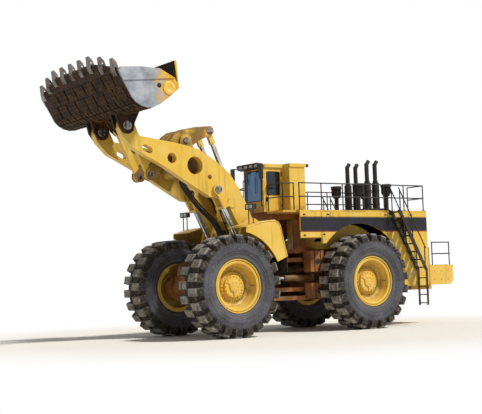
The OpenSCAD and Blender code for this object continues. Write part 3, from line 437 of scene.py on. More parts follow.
def rubber():
    """Moulded tyre rubber: blue-grey dusty sidewall, lug faces pale with scuffs and painted light, painted
    shade between the lugs.
    """
    made, tree, place = new_finish("Tyre_rubber")
    radius = axle_radius(place)
    colour = mottled(place, 900.0, 0.3, 0.75, paint("rubber"), linear("#57575D"), 5.0)
    bead = add(tree, "times", add(tree, "step", radius, 1.30, 0.98), 0.45)
    colour = add(tree, "blend", bead, colour, linear("#6E6C6A"))
    # Painted shade: the carcass between the lugs goes near black as if in shadow
    shade_between_lugs = add(tree, "times", add(tree, "step", radius, 1.46, 1.60), add(tree, "step", radius, 1.84, 1.76))
    colour = add(tree, "blend", shade_between_lugs, colour, linear("#262321"))
    # Partly painted light: the lug faces are scuffed and dusty, and lightened as if lit by the sky
    scuffed_and_lit = mottled(place, 150.0, 0.38, 0.62, linear("#625E57"), linear("#98928A"), 7.0)
    colour = add(tree, "blend", add(tree, "step", radius, 1.80, 1.85), colour, scuffed_and_lit)
    tread = add(tree, "step", radius, 1.45, 1.75, 0.12, 0.4)
    caked = add(tree, "times", patches(place, 110.0, 0.45, 0.75, 8.0), tread)
    colour = add(tree, "blend", caked, colour, linear("#A08F74"))
    edges, rounded = rubbed_edges(place, 0.03, 0.8)
    colour = add(tree, "blend", edges, colour, linear("#9A948A"))
    grit = patches(place, 45.0, 0.3, 0.7, 7.0)
    bump = add(tree, "bump", Strength=0.35, Distance=0.012, Height=grit, Normal=rounded)
    return shade(made, Base_Color=colour, Roughness=0.82, IOR=1.52, Specular_IOR_Level=0.3, Normal=bump)


def flap_rubber():
    """Sheet rubber of the mud flaps and hoses: black, dull, greyed by dust."""
    return weathered("Sheet_rubber", linear("#191817"), linear("#2A2724"), "#4A453E", 0.75, 0.45, 0.5, 200.0)


def bucket_plate():
    """Abrasion-resistant plate: side plates ground bright towards the lip, painted behind, rust below."""
    made, tree, place = new_finish("Wear_plate_bucket")
    parts = add(tree, "split", place).node.outputs
    beyond = add(tree, "over", add(tree, "size", parts["Y"]), CHEEK_Y - 0.04)
    scour = patches(place, 380.0, 0.3, 0.7, 6.0)
    uneven = add(tree, "plus", parts["X"], add(tree, "times", scour, 0.35))
    forward = add(tree, "step", uneven, HITCH_X + 6.35, HITCH_X + 6.95)
    bare = add(tree, "blend", scour, linear("#82858B"), linear("#A8AAAD"))
    scratch = add(tree, "times", patches(place, 30.0, 0.55, 0.7, 2.0), 0.4)
    bare = add(tree, "blend", scratch, bare, linear("#65666C"))
    painted = add(tree, "blend", scour, paint("yellow"), linear("#C8962E"))
    cheek = add(tree, "blend", forward, painted, bare)
    rust = mottled(place, 260.0, 0.35, 0.65, linear("#22160C"), linear("#3D2613"), 6.0)
    rust = mottled(place, 900.0, 0.52, 0.72, rust, linear("#6A4716"))
    edges, rounded = rubbed_edges(place, 0.02, 0.7)
    colour = add(tree, "blend", beyond, rust, cheek)
    colour = add(tree, "blend", edges, colour, linear("#A59F95"))
    metal = add(tree, "times", beyond, add(tree, "times", forward, 0.35))
    dents = patches(place, 90.0, 0.3, 0.7, 8.0)
    bump = add(tree, "bump", Strength=0.3, Distance=0.01, Height=dents, Normal=rounded)
    return shade(made, Base_Color=colour, Metallic=metal, Roughness=0.6, Specular_IOR_Level=0.12, Normal=bump)


def worn_casting():
    """Cast wear blocks: dark brown scale, bright rubbed edges, cut by staggered joints about 20 mm wide."""
    made, tree, place = new_finish("Cast_steel_worn")
    turned = bucket_frame().inverted()
    local = add(tree, "turn", place, turned.translation, turned.to_euler())
    parts = add(tree, "split", local).node.outputs
    laid = add(tree, "join", parts["Y"], parts["X"])
    block_size = {"Brick_Width": 0.35, "Row_Height": 0.15, "Mortar_Size": 0.011, "Mortar_Smooth": 0.2}
    joints = add(tree, "blocks", laid, Scale=1.0, **block_size).node.outputs["Fac"]
    scale = patches(place, 260.0, 0.35, 0.65, 6.0)
    colour = add(tree, "blend", scale, linear("#2B1B0D"), linear("#4A331B"))
    colour = add(tree, "blend", joints, colour, linear("#120B06"))
    edges, rounded = rubbed_edges(place, 0.02, 0.7)
    colour = add(tree, "blend", edges, colour, linear("#6E675D"))
    sunk = add(tree, "minus", add(tree, "times", scale, 0.3), joints)
    bump = add(tree, "bump", Strength=0.6, Distance=0.02, Height=sunk, Normal=rounded)
    return shade(made, Base_Color=colour, Roughness=0.7, Specular_IOR_Level=0.12, Normal=bump)


def tooth_steel():
    """Cast steel of the teeth: brown behind, ground bright towards the tips."""
    tooth = {"dust": 0.1, "wear": 0.95, "patch_mm": 420.0, "edge": 0.04}
    return weathered("Cast_steel_tooth", linear("#3A2C20"), linear("#8C857C"), "#C9C5BD", 0.5, **tooth)


def pin_steel():
    """Turned and greased pin steel: grey metal, smeared with dark grease."""
    made, tree, place = new_finish("Pin_steel")
    colour = mottled(place, 110.0, 0.4, 0.65, linear("#8F8D88"), linear("#3A342C"), 5.0)
    bump = add(tree, "bump", Strength=0.12, Distance=0.002, Height=patches(place, 18.0, 0.3, 0.7, 3.0))
    return shade(made, Base_Color=colour, Metallic=0.85, Roughness=0.42, Normal=bump)


def rod(name, base, slider, bare):
    """Hard chrome on a ground rod as far as bare along it, and painted steel on its end beyond."""
    made, tree, place = new_finish(name)
    film = patches(place, 160.0, 0.45, 0.7, 5.0)
    chrome = add(tree, "blend", film, linear("#C9CDD0"), linear("#8E8778"))
    start = Vector(JOINTS[base]["pos_m"])
    axis = Vector(JOINTS[slider]["axis"])
    past = add(tree, "over", add(tree, "dot", place, tuple(axis)), start.dot(axis) + bare)
    smooth = add(tree, "plus", add(tree, "times", film, 0.25), 0.12)
    rough = add(tree, "most", smooth, add(tree, "times", past, 0.45))
    colour = add(tree, "blend", past, chrome, sunned(place, 500.0))
    return shade(made, Base_Color=colour, Metallic=add(tree, "minus", 1.0, past), Roughness=rough)


def lift_chrome():
    """Chromed lift rods with painted forks."""
    return rod("Hard_chrome_lift", "lift_barrel", "lift_rod", 2.885)


def tilt_chrome():
    """Chromed tilt rods with painted eyes."""
    return rod("Hard_chrome_tilt", "tilt_barrel", "tilt_rod", 3.98)


def steer_chrome():
    """Chromed steering rods with painted eyes."""
    return rod("Hard_chrome_steer", "steer_barrel_left", "steer_rod_left", 2.14)


def liner_paint_and_shade():
    """Primer of the wheel arch linings: dark red-brown under splashed mud, darkened further as painted shade
    inside the arch.
    """
    # Partly painted shade: the dark red-brown stands for the inside of the arch in shadow
    return weathered("Primer_red_brown", linear("#7A4029"), linear("#4A2A1C"), "#5A4432", 0.7, dust=0.5)


def engine_iron():
    """Cast iron with oil and dirt: dark, rough, brownish."""
    return weathered("Cast_iron_oily", linear("#3B3732"), linear("#554738"), "#7A7064", 0.6, 0.5, 0.4, 220.0)


def tread_plate():
    """Rolled tread plate: worn yellow walkway with raised bars about 40 mm apart."""
    made, tree, place = new_finish("Tread_plate")
    bars = add(tree, "bars", place, Scale=8.0, Distortion=1.5, Detail=1.0).node.outputs["Fac"]
    colour = mottled(place, 500.0, 0.35, 0.7, paint("yellow"), linear("#B48A34"), 6.0)
    edges, rounded = rubbed_edges(place, 0.012, 0.7)
    colour = add(tree, "blend", edges, colour, linear("#7C6A4C"))
    bump = add(tree, "bump", Strength=0.2, Distance=0.004, Height=bars, Normal=rounded)
    return shade(made, Base_Color=colour, Roughness=0.55, Normal=bump)


def glazing(name, colour, dusty, clear):
    """Laminated glass of one tint: smooth, thinly filmed with dust."""
    made, tree, place = new_finish(name)
    film = patches(place, 260.0, 0.45, 0.75, 5.0)
    colour = add(tree, "blend", film, linear(colour), linear(dusty))
    rough = add(tree, "plus", add(tree, "times", film, 0.12), 0.03)
    return shade(made, Base_Color=colour, Roughness=rough, Transmission_Weight=clear, IOR=1.52)


def sky_reflection_glass():
    """Windscreen and fixed windows: blue tint with a painted reflection of the sky, brightened for the front
    in shade.
    """
    # Painted reflection: a bright blue base colour stands for the sky seen in the glass
    return glazing("Glass_blue", "#4488E0", "#5C93D8", 0.1)


def door_glazing():
    """Door pane: darker tint."""
    return glazing("Glass_dark", "#0C1524", "#27384F", 0.5)


def mirror_glass():
    """Silvered mirror glass under a little dust."""
    made, tree, place = new_finish("Glass_mirror")
    film = patches(place, 120.0, 0.5, 0.8)
    colour = add(tree, "blend", film, linear("#B9BEC2"), linear("#8E887C"))
    return shade(made, Base_Color=colour, Metallic=1.0, Roughness=add(tree, "times", film, 0.4))


def lens(name, colour):
    """Moulded lamp lens: smooth outside, ribbed behind about every 12 mm."""
    made, tree, place = new_finish(name)
    ribs = add(tree, "ribs", place, Scale=26.0, Distortion=0.3).node.outputs["Fac"]
    hazy = mottled(place, 60.0, 0.4, 0.7, colour, linear("#8E8A80"))
    bump = add(tree, "bump", Strength=0.3, Distance=0.003, Height=ribs)
    return shade(made, Base_Color=hazy, Roughness=0.15, IOR=1.58, Transmission_Weight=0.2, Normal=bump)


def clear_lens():
    """Clear polycarbonate of the work lamps."""
    return lens("Lens_clear", paint("lens"))


def red_lens():
    """Red polycarbonate of the tail lamps."""
    return lens("Lens_red", linear("#8E1712"))


def cab_vinyl():
    """Moulded black vinyl and foam in the cab: soft grain, dull."""
    made, tree, place = new_finish("Vinyl_black")
    colour = mottled(place, 200.0, 0.35, 0.7, linear("#232324"), linear("#353432"))
    bump = add(tree, "bump", Strength=0.2, Distance=0.002, Height=patches(place, 6.0, 0.35, 0.65, 3.0))
    return shade(made, Base_Color=colour, Roughness=0.65, Normal=bump)


def lamp_housing():
    """Die-cast lamp body in black, with dust."""
    return weathered("Lamp_housing_black", linear("#191919"), linear("#262523"), "#57534B", 0.45, dust=0.3)


def on_wheels(prefix):
    """The names of one kind of part on all four wheels."""
    return tuple(prefix + wheel for wheel in WHEELS)


BARRELS = ("tilt_links", "tilt_barrels", "lift_barrels")
FINISH_OF = {
    yellow_enamel: ("engine_hood", "rear_wings", "bumper", "front_fenders") + BARRELS,
    boom_enamel: ("boom", "tilt_levers"),
    cab_enamel: ("cab_shell", "cab_roof", "cab_door"),
    tower_enamel: ("front_towers", "steer_barrel_left", "steer_barrel_right"),
    rim_enamel: on_wheels("rim_"),
    grimed_shaded_enamel: ("rear_frame", "front_frame", "rear_axle", "front_axle", "side_tanks", "drawbar"),
    side_enamel: ("side_panels",),
    band_enamel: ("band_plates",),
    black_powder: ("deck_rails", "stairs", "mirrors", "radiator_grille"),
    heat_black: ("exhaust_stacks", "air_cleaners"),
    rubber: on_wheels("tyre_"),
    bucket_plate: ("bucket_shell",),
    tooth_steel: ("bucket_teeth",),
    worn_casting: ("wear_plates",),
    pin_steel: ("tilt_trunnion", "hitch_pins", "tower_pins"),
    lift_chrome: ("lift_rods",),
    tilt_chrome: ("tilt_rods",),
    steer_chrome: ("steer_rod_left", "steer_rod_right"),
    engine_iron: ("engine_block",),
    tread_plate: ("deck",),
    sky_reflection_glass: ("cab_glass",),
    door_glazing: ("door_glass",),
    cab_vinyl: ("cab_seat", "cab_console"),
    lamp_housing: ("roof_lamps", "fender_lamps"),
}
MADE = {}


def finish(maker):
    """The material of a maker function, made once."""
    if maker not in MADE:
        MADE[maker] = maker()
    return MADE[maker]


# Mesh helpers


def piece(name, shape, body, maker, smooth=None):
    """Turns a bmesh into an object at the origin with one material, riding on a body."""
    mesh = bpy.data.meshes.new(name)
    bmesh.ops.recalc_face_normals(shape, faces=shape.faces)
    shape.to_mesh(mesh)
    shape.free()
    made = bpy.data.objects.new(name, mesh)
    bpy.context.scene.collection.objects.link(made)
    mesh.materials.append(finish(maker))
    if smooth is not None:
        mesh.shade_smooth()
        mesh.set_sharp_from_angle(angle=math.radians(smooth))
    if body:
        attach(made, body)
    return made


def pin_of(joint):
    """A joint's distance ahead of the hitch and its height."""
    place = JOINTS[joint]["pos_m"]
    return place[0] - HITCH_X, place[2]


def facing(point, axis):
    """A placement at a point whose +Z looks along axis."""
    turn = Vector(axis).to_track_quat("Z", "Y")
    return Matrix.Translation(point) @ turn.to_matrix().to_4x4()


def spread(place, count, start=0.0):
    """A placement turned about its own Z into count even places."""
    return [place @ Matrix.Rotation(start + math.tau * i / count, 4, "Z") for i in range(count)]


def prism(shape, place, outline, low, high, bevel=0.0):
    """Extrudes a flat outline between two heights of a placement, with its edges broken by a bevel."""
    bottom = [shape.verts.new(place @ Vector((x, y, low))) for x, y in outline]
    face = shape.faces.new(bottom)
    grown = bmesh.ops.extrude_face_region(shape, geom=[face])["geom"]
    moved = [item for item in grown if isinstance(item, bmesh.types.BMVert)]
    bmesh.ops.translate(shape, verts=moved, vec=place.to_3x3() @ Vector((0, 0, high - low)))
    if bevel:
        bmesh.ops.bevel(
            shape,
            geom=list({edge for vert in bottom + moved for edge in vert.link_edges}),
            offset=bevel,
            offset_type="OFFSET",
            affect="EDGES",
            segments=2,
            profile=0.5,
            material=-1,
        )


def block(shape, low, high, bevel=0.006, place=Matrix()):
    """A box between two corners, with broken edges."""
    outline = ((low[0], low[1]), (high[0], low[1]), (high[0], high[1]), (low[0], high[1]))
    prism(shape, place, outline, low[2], high[2], bevel)


def both(shape, low, high, bevel=0.006):
    """The same box on the left and the right, from corners that count ahead of the hitch."""
    for side in SIDES:
        block(shape, at(low[0], low[1] * side, low[2]), at(high[0], high[1] * side, high[2]), bevel)


def lathe(shape, place, profile, steps=40):
    """Spins a profile of (radius, height) pairs about the placement's Z; ends on the axis close."""
    known = set(shape.verts)
    verts = [shape.verts.new((radius, 0, height)) for radius, height in profile]
    edges = [shape.edges.new(pair) for pair in zip(verts, verts[1:])]
    bmesh.ops.spin(
        shape,
        geom=verts + edges,
        cent=(0, 0, 0),
        axis=(0, 0, 1),
        angle=math.tau,
        steps=steps,
        use_merge=True,
    )
    made = [vert for vert in shape.verts if vert not in known]
    bmesh.ops.remove_doubles(shape, verts=made, dist=1e-5)
    made = [vert for vert in shape.verts if vert not in known]
    bmesh.ops.transform(shape, matrix=place, verts=made)


def disc(shape, place, radius, low, rim, inset, top, steps=40):
    """A round cap from low to top with its upper edge cut back to inset at the height rim."""
    lathe(shape, place, ((radius, low), (radius, rim), (inset, top), (0, top)), steps)


def band(shape, place, radius, out, steps=40):
    """A clamp band 60 mm wide round a barrel or a pipe."""
    lathe(shape, place, ((radius, -0.03), (out, -0.022), (out, 0.022), (radius, 0.03)), steps)


def hex_bolt(shape, point, axis, across, height):
    """A hexagon head with a chamfered top."""
    half = across * 0.5
    foot = height * -0.1
    profile = ((0, foot), (half, foot), (half, height * 0.78), (across * 0.42, height), (0, height))
    lathe(shape, facing(point, axis), profile, 6)


def bolt_ring(shape, place, radius, count, across, height, start=0.0):
    """Hexagon heads round the placement's Z."""
    axis = place.to_3x3() @ UP
    for turned in spread(place, count, start):
        hex_bolt(shape, turned @ Vector((radius, 0, 0)), axis, across, height)


def tube(shape, points, radius, sides=10, closed=False):
    """A round tube: a circle extruded from point to point, turning with the way it goes."""
    points = [Vector(point) for point in points]
    last = len(points) - 1
    ways = []
    for i, point in enumerate(points):
        before = points[i - 1] if closed or i else point
        after = points[(i + 1) % len(points)] if closed or i < last else point
        ways.append((after - before).normalized())
    start = facing(points[0], ways[0])
    verts = bmesh.ops.create_circle(shape, segments=sides, radius=radius, matrix=start)["verts"]
    first = list({edge for vert in verts for edge in vert.link_edges})
    ring = first
    for i in range(last):
        grown = bmesh.ops.extrude_edge_only(shape, edges=ring)["geom"]
        verts = {item for item in grown if isinstance(item, bmesh.types.BMVert)}
        edges = {edge for vert in verts for edge in vert.link_edges}
        ring = [edge for edge in edges if verts.issuperset(edge.verts)]
        turn = ways[i].rotation_difference(ways[i + 1]).to_matrix().to_4x4()
        move = Matrix.Translation(points[i + 1]) @ turn @ Matrix.Translation(-points[i])
        bmesh.ops.transform(shape, matrix=move, verts=list(verts))
    if closed:
        bmesh.ops.bridge_loops(shape, edges=first + ring)
    else:
        for end in (first, ring):
            bmesh.ops.edgeloop_fill(shape, edges=end)


def rounded_loop(centre, across, half_across, half_up, corner):
    """Points round an upright rectangle with rounded corners, its width along a unit direction."""
    points = []
    for quarter, (sign_a, sign_u) in enumerate(((1, 1), (-1, 1), (-1, -1), (1, -1))):
        for step in range(5):
            turn = math.radians(90 * quarter + 22.5 * step)
            a = sign_a * (half_across - corner) + corner * math.cos(turn)
            u = sign_u * (half_up - corner) + corner * math.sin(turn)
            points.append(centre + across * a + UP * u)
    return points


def swept(knots, steps=8):
    """Points of a smooth curve through knots."""
    knots = [Vector(knot) for knot in knots]
    slopes = []
    for i in range(len(knots)):
        before = knots[max(i - 1, 0)]
        after = knots[min(i + 1, len(knots) - 1)]
        slopes.append((after - before) / 6)
    points = [knots[0]]
    for i in range(len(knots) - 1):
        a = knots[i]
        b = knots[i + 1]
        points += interpolate_bezier(a, a + slopes[i], b - slopes[i + 1], b, steps)[1:]
    return points


def handle(shape, y, corners, radius, steps):
    """A bent bar at one distance from the middle, through corners given as (ahead, height) pairs."""
    tube(shape, swept([at(x, y, z) for x, z in corners], steps), radius)


def pin_cap(shape, point, axis, radius, thick=0.03):
    """A keeper disc over a pin's end, with four bolts and a greasing nipple."""
    place = facing(point, axis)
    disc(shape, place, radius, -0.01, thick * 0.7, radius * 0.93, thick, 32)
    raised = place @ Matrix.Translation((0, 0, thick))
    bolt_ring(shape, raised, radius * 0.62, 4, radius * 0.34, radius * 0.14, math.pi / 4)
    lathe(shape, raised, ((0.014, 0), (0.012, 0.02), (0.006, 0.03), (0, 0.032)), 12)


def bucket_frame():
    """Placement of the bucket's own outline: X towards the lip, Z up when level, Y across."""
    return Matrix.Translation(JOINTS["bucket"]["pos_m"]) @ Matrix.Rotation(BUCKET_TURN, 4, "Y")


def lip_x(y):
    """The lip's forward reach at a distance from the middle."""
    return NOSE_X - max(abs(y) - NOSE_HALF, 0) * LIP_SLOPE


# Pieces


class LOADER_OT_finishes(bpy.types.Operator):
    """Gives every CAD node its finish"""

    bl_idname = "loader.finishes"
    bl_label = "CAD finishes"

    def execute(self, context):
        wanted = {node: maker for maker, nodes in FINISH_OF.items() for node in nodes}
        missing = set(frame["nodes"]) - set(wanted)
        if missing:
            raise RuntimeError("no finish for " + ", ".join(sorted(missing)))
        for node, maker in wanted.items():
            slots = frame["nodes"][node].data.materials
            if not slots:
                slots.append(None)
            for index in range(len(slots)):
                slots[index] = finish(maker)
        return {"FINISHED"}


class LOADER_OT_wheels(bpy.types.Operator):
    """Wheel nuts, hub bolts and ribs, lock rings, valves and the moulded rings of the tyres"""

    bl_idname = "loader.wheels"
    bl_label = "Wheels"

    def execute(self, context):
        for wheel in WHEELS:
            side = 1 if wheel.endswith("left") else -1
            place = facing(JOINTS["spin_" + wheel]["pos_m"], LEFT * side)
            self.nuts(wheel, place)
            self.hub(wheel, place)
            self.rings(wheel, place)
        return {"FINISHED"}

    def nuts(self, wheel, place):
        """Rings of nuts, from the rim inwards to the hub's cover"""
        sizes = fasteners()
        # How far out of the wheel's middle, then radius, count, width and height
        rows = (
            (0.09, 0.572, sizes.nut_count, sizes.nut_across, 0.04),
            (0.13, 0.47, 24, sizes.nut_across, 0.035),
            (0.24, 0.355, 16, sizes.nut_across, 0.03),
            (0.29, 0.15, 6, 0.04, 0.02),
        )
        shape = bmesh.new()
        for out, *row in rows:
            bolt_ring(shape, place @ Matrix.Translation((0, 0, out)), *row)
        piece("wheel_nuts_" + wheel, shape, "wheel_" + wheel, rim_enamel)

    def hub(self, wheel, place):
        """Ribs of the hub, the lock rings round it and the tyre's valve"""
        ribs = bmesh.new()
        for turned in spread(place, 3, math.tau / 12):
            block(ribs, (0.195, -0.035, 0.235), (0.325, 0.035, 0.278), 0.012, turned)
        lathe(ribs, place, ((0.93, 0.495), (0.945, 0.535), (0.975, 0.535), (0.985, 0.50)), 96)
        lathe(ribs, place, ((0.60, 0.085), (0.605, 0.115), (0.64, 0.115), (0.65, 0.08)), 72)
        piece("hub_ribs_" + wheel, ribs, "wheel_" + wheel, rim_enamel, 40)
        valve = bmesh.new()
        stem = ((0.74, 0.16), (0.745, 0.30), (0.80, 0.38))
        tube(valve, swept([place @ Vector((radius, 0, out)) for radius, out in stem], 5), 0.014)
        piece("valve_" + wheel, valve, "wheel_" + wheel, pin_steel, 40)

    def rings(self, wheel, place):
        """Three moulded rings on each sidewall"""
        shape = bmesh.new()
        for flip in SIDES:
            for radius, height, width in ((1.06, 0.548, 0.030), (1.20, 0.598, 0.020), (1.33, 0.627, 0.024)):
                profile = (
                    (radius - width, (height - 0.03) * flip),
                    (radius - width * 0.6, (height + 0.006) * flip),
                    (radius + width * 0.6, (height + 0.010) * flip),
                    (radius + width, (height - 0.02) * flip),
                )
                lathe(shape, place, profile, 120)
        piece("tyre_rings_" + wheel, shape, "wheel_" + wheel, rubber, 50)


class LOADER_OT_working_gear(bpy.types.Operator):
    """Pin keepers, steel lines and hoses of the boom, levers and cylinders"""

    bl_idname = "loader.working_gear"
    bl_label = "Working gear"

    def execute(self, context):
        self.keepers()
        self.boom_lines()
        self.barrel_lines()
        self.hoses()
        self.manifold()
        return {"FINISHED"}

    def keepers(self):
        """A keeper on each end of the pins that show"""
        # By body: the pin, its outer face, its inner face where one shows, and the keeper's radius
        wanted = {
            "boom": ((pin_of("tilt_lever"), 0.64, None, 0.115),),
            "bucket": ((pin_of("bucket"), 1.21, 0.71, 0.17), (LINK_EAR, 0.54, 0.26, 0.125)),
            "front": ((pin_of("lift"), 1.375, None, 0.15), (pin_of("lift_barrel"), 1.375, None, 0.15)),
            "lift_rods": ((LIFT_FORK, 1.21, 0.71, 0.15),),
            "tilt_levers": ((pin_of("tilt_link"), 0.54, 0.26, 0.12), (LEVER_TOP, 0.54, 0.26, 0.13)),
        }
        for body, pins in wanted.items():
            shape = bmesh.new()
            for (x, z), outer, inner, radius in pins:
                for side in SIDES:
                    pin_cap(shape, at(x, outer * side, z), LEFT * side, radius)
                    if inner:
                        pin_cap(shape, at(x, inner * side, z), LEFT * -side, radius)
            piece("pin_keepers_" + body, shape, body, pin_steel, 35)

    def boom_lines(self):
        """Two steel lines along the inside of each arm, in clips"""
        knees = ((2.1, 5.4), (2.5, 5.92), (3.2, 6.48), (3.8, 6.85), (4.65, 7.03), (5.4, 7.13))
        path = ((1.82, 4.75),) + knees + ((5.9, 7.2),)
        shape = bmesh.new()
        clips = bmesh.new()
        for side in SIDES:
            for row in (0.0, 0.065):
                line = [at(x, 0.795 * side, z - row) for x, z in path]
                tube(shape, swept(line, 5), fasteners().line_radius)
            for x, z in knees:
                low = at(x - 0.03, 0.765 * side - 0.001, z - 0.12)
                block(clips, low, at(x + 0.03, 0.82 * side, z + 0.05), 0.008)
        piece("boom_lines", shape, "boom", black_powder, 50)
        piece("boom_line_clips", clips, "boom", pin_steel)

    def barrel_lines(self):
        """A steel line and its straps along each lift and tilt barrel"""
        # Joints of barrel and rod, then the barrel's Y and radius, over (1) or under it, and the line's ends
        rows = (
            ("lift_barrel", "lift_rod", 0.96, 0.20, -1, 0.45, 1.75),
            ("tilt_barrel", "tilt_rod", 0.40, 0.165, 1, 0.5, 1.75),
        )
        for base, slider, y, radius, over, start, end in rows:
            foot = Vector(JOINTS[base]["pos_m"])
            axis = Vector(JOINTS[slider]["axis"])
            normal = LEFT.cross(axis) * over
            near = radius - 0.01
            far = radius + 0.055
            bends = ((start, near), (start + 0.05, far), (end - 0.05, far), (end, near))
            shape = bmesh.new()
            straps = bmesh.new()
            for side in SIDES:
                origin = foot + LEFT * y * side
                tube(shape, swept([origin + axis * along + normal * out for along, out in bends], 6), 0.024)
                for share in (0.3, 0.7):
                    middle = origin + axis * (start + (end - start) * share)
                    band(straps, facing(middle, axis), radius, radius + 0.016)
            body = base + "s"
            piece(body + "_lines", shape, body, black_powder, 50)
            piece(body + "_straps", straps, body, black_powder, 40)

    def hoses(self):
        """Bundles from the front frame to the boom's cross tube, behind and ahead of the tilt barrels' pin"""
        behind = ((0.95, 3.05), (0.93, 3.55), (1.0, 4.0), (1.42, 4.42))
        behind += ((2.05, 4.75), (2.7, 5.35), (3.3, 5.85), (3.66, 6.12))
        ahead = ((2.12, 3.30), (2.16, 3.75), (2.42, 4.25), (2.95, 4.72))
        ahead += ((3.42, 5.2), (3.78, 5.68), (3.86, 6.0))
        collar = ((0.048, -0.1), (0.048, 0.02), (0.03, 0.04), (0, 0.04))
        fittings = bmesh.new()
        # The knots between which a bundle bends
        for name, knots, first, last in (("back", behind, 2, 5), ("front", ahead, 1, 4)):
            shape = bmesh.new()
            for y in (-0.165, -0.055, 0.055, 0.165):
                wander = 0.05 * math.cos(y * 40)
                path = [at(x + wander * 0.5, y, z + wander) for x, z in knots]
                path[0] = at(knots[0][0], y, knots[0][1])
                path[-1] = at(knots[-1][0], y, knots[-1][1])
                tube(shape, swept(path), fasteners().hose_radius, 12)
                lathe(fittings, facing(path[-1], path[-1] - path[-2]), collar, 6)
            made = piece("boom_hoses_" + name, shape, None, flap_rubber, 60)
            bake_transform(made)
        piece("boom_hose_fittings", fittings, "boom", pin_steel)

    def manifold(self):
        """The control valve between the towers, with its spool caps"""
        shape = bmesh.new()
        block(shape, at(1.98, -0.57, 2.98), at(2.26, 0.57, 3.24), 0.02)
        for i in range(7):
            y = -0.48 + 0.16 * i
            block(shape, at(2.24, y - 0.06, 3.0), at(2.38, y + 0.06, 3.2), 0.018)
            disc(shape, facing(at(2.38, y, 3.1), AHEAD), 0.05, -0.01, 0.06, 0.035, 0.08, 20)
            disc(shape, facing(at(2.12, y, 3.23), UP), 0.05, 0, 0.05, 0.035, 0.07, 6)
        piece("valve_manifold", shape, "front", engine_iron, 40)


class LOADER_OT_bucket(bpy.types.Operator):
    """Tooth pins, lip shrouds, heel bars, cheek bosses and inner gussets of the bucket"""

    bl_idname = "loader.bucket"
    bl_label = "Bucket"

    def execute(self, context):
        place = bucket_frame()
        self.lip(place)
        self.heel(place)
        self.cheeks(place)
        self.gussets(place)
        return {"FINISHED"}

    def lip(self, place):
        """A pin through each tooth, and a shroud over the lip between each two"""
        pins = bmesh.new()
        for i in range(9):
            y = (i - 4) * TOOTH_PITCH
            reach = lip_x(max(abs(y) - 0.11, 0)) + 0.06
            for side in SIDES:
                point = place @ Vector((reach, y + 0.11 * side, -0.31))
                disc(pins, facing(point, LEFT * side), 0.05, -0.01, 0.008, 0.04, 0.014, 16)
        piece("tooth_pins", pins, "bucket", pin_steel, 40)
        shrouds = bmesh.new()
        for i in range(8):
            y = (i - 3.5) * TOOTH_PITCH
            corners = ((-0.2, y - 0.215), (0.035, y - 0.215), (0.035, y + 0.215), (-0.2, y + 0.215))
            outline = [(lip_x(across) + ahead, across) for ahead, across in corners]
            prism(shrouds, place, outline, -0.40, -0.235, 0.02)
        piece("lip_shrouds", shrouds, "bucket", worn_casting)

    def heel(self, place):
        """Wear bars round the bend of the floor, fewer rows of them between the arms"""
        bend = ((1.0, -0.375), (0.78, -0.325), (0.575, -0.19), (0.42, 0.0), (0.33, 0.2))
        path = [Vector((x, 0, z)) for x, z in bend]
        shape = bmesh.new()
        for column in range(11):
            y = (column - 5) * 0.54
            rows = 4 if abs(y) > 1.5 else 2
            for start, end in list(zip(path, path[1:]))[:rows]:
                reach = (end - start).length
                way = (end - start).normalized()
                turned = Matrix((way, LEFT, way.cross(LEFT))).transposed().to_4x4()
                spot = place @ Matrix.Translation(start + LEFT * y) @ turned
                for left in (-0.22, 0.02):
                    block(shape, (0.012, left, -0.02), (reach - 0.012, left + 0.2, 0.035), 0.012, spot)
        piece("heel_bars", shape, "bucket", worn_casting)

    def cheeks(self, place):
        """A round boss on each side plate, and a raised black disc as the painted shade of a hole"""
        boss = ((0.24, -0.01), (0.24, 0.022), (0.22, 0.034), (0.12, 0.034), (0.10, 0.02), (0, 0.02))
        bosses = bmesh.new()
        hole_shades = bmesh.new()
        for side in SIDES:
            lathe(bosses, place @ facing((0.60, CHEEK_Y * side, 1.10), LEFT * side), boss, 48)
            # Painted shade: a black disc stands for the dark inside of a hole
            hollow = place @ facing((0.86, CHEEK_Y * side, 0.80), LEFT * side)
            disc(hole_shades, hollow, 0.085, -0.005, 0.006, 0.07, 0.012, 32)
        piece("cheek_bosses", bosses, "bucket", yellow_enamel, 40)
        piece("cheek_holes", hole_shades, "bucket", heat_black, 40)

    def gussets(self, place):
        """Six plates under the spill guard"""
        upright = place @ Matrix.Rotation(math.pi / 2, 4, "X")
        shape = bmesh.new()
        for i in range(6):
            y = -2.4 + 0.96 * i
            outline = ((0.47, 1.12), (0.52, 1.44), (0.98, 1.66), (0.70, 1.38))
            prism(shape, upright, outline, y - 0.02, y + 0.02, 0.006)
        piece("bucket_gussets", shape, "bucket", worn_casting)


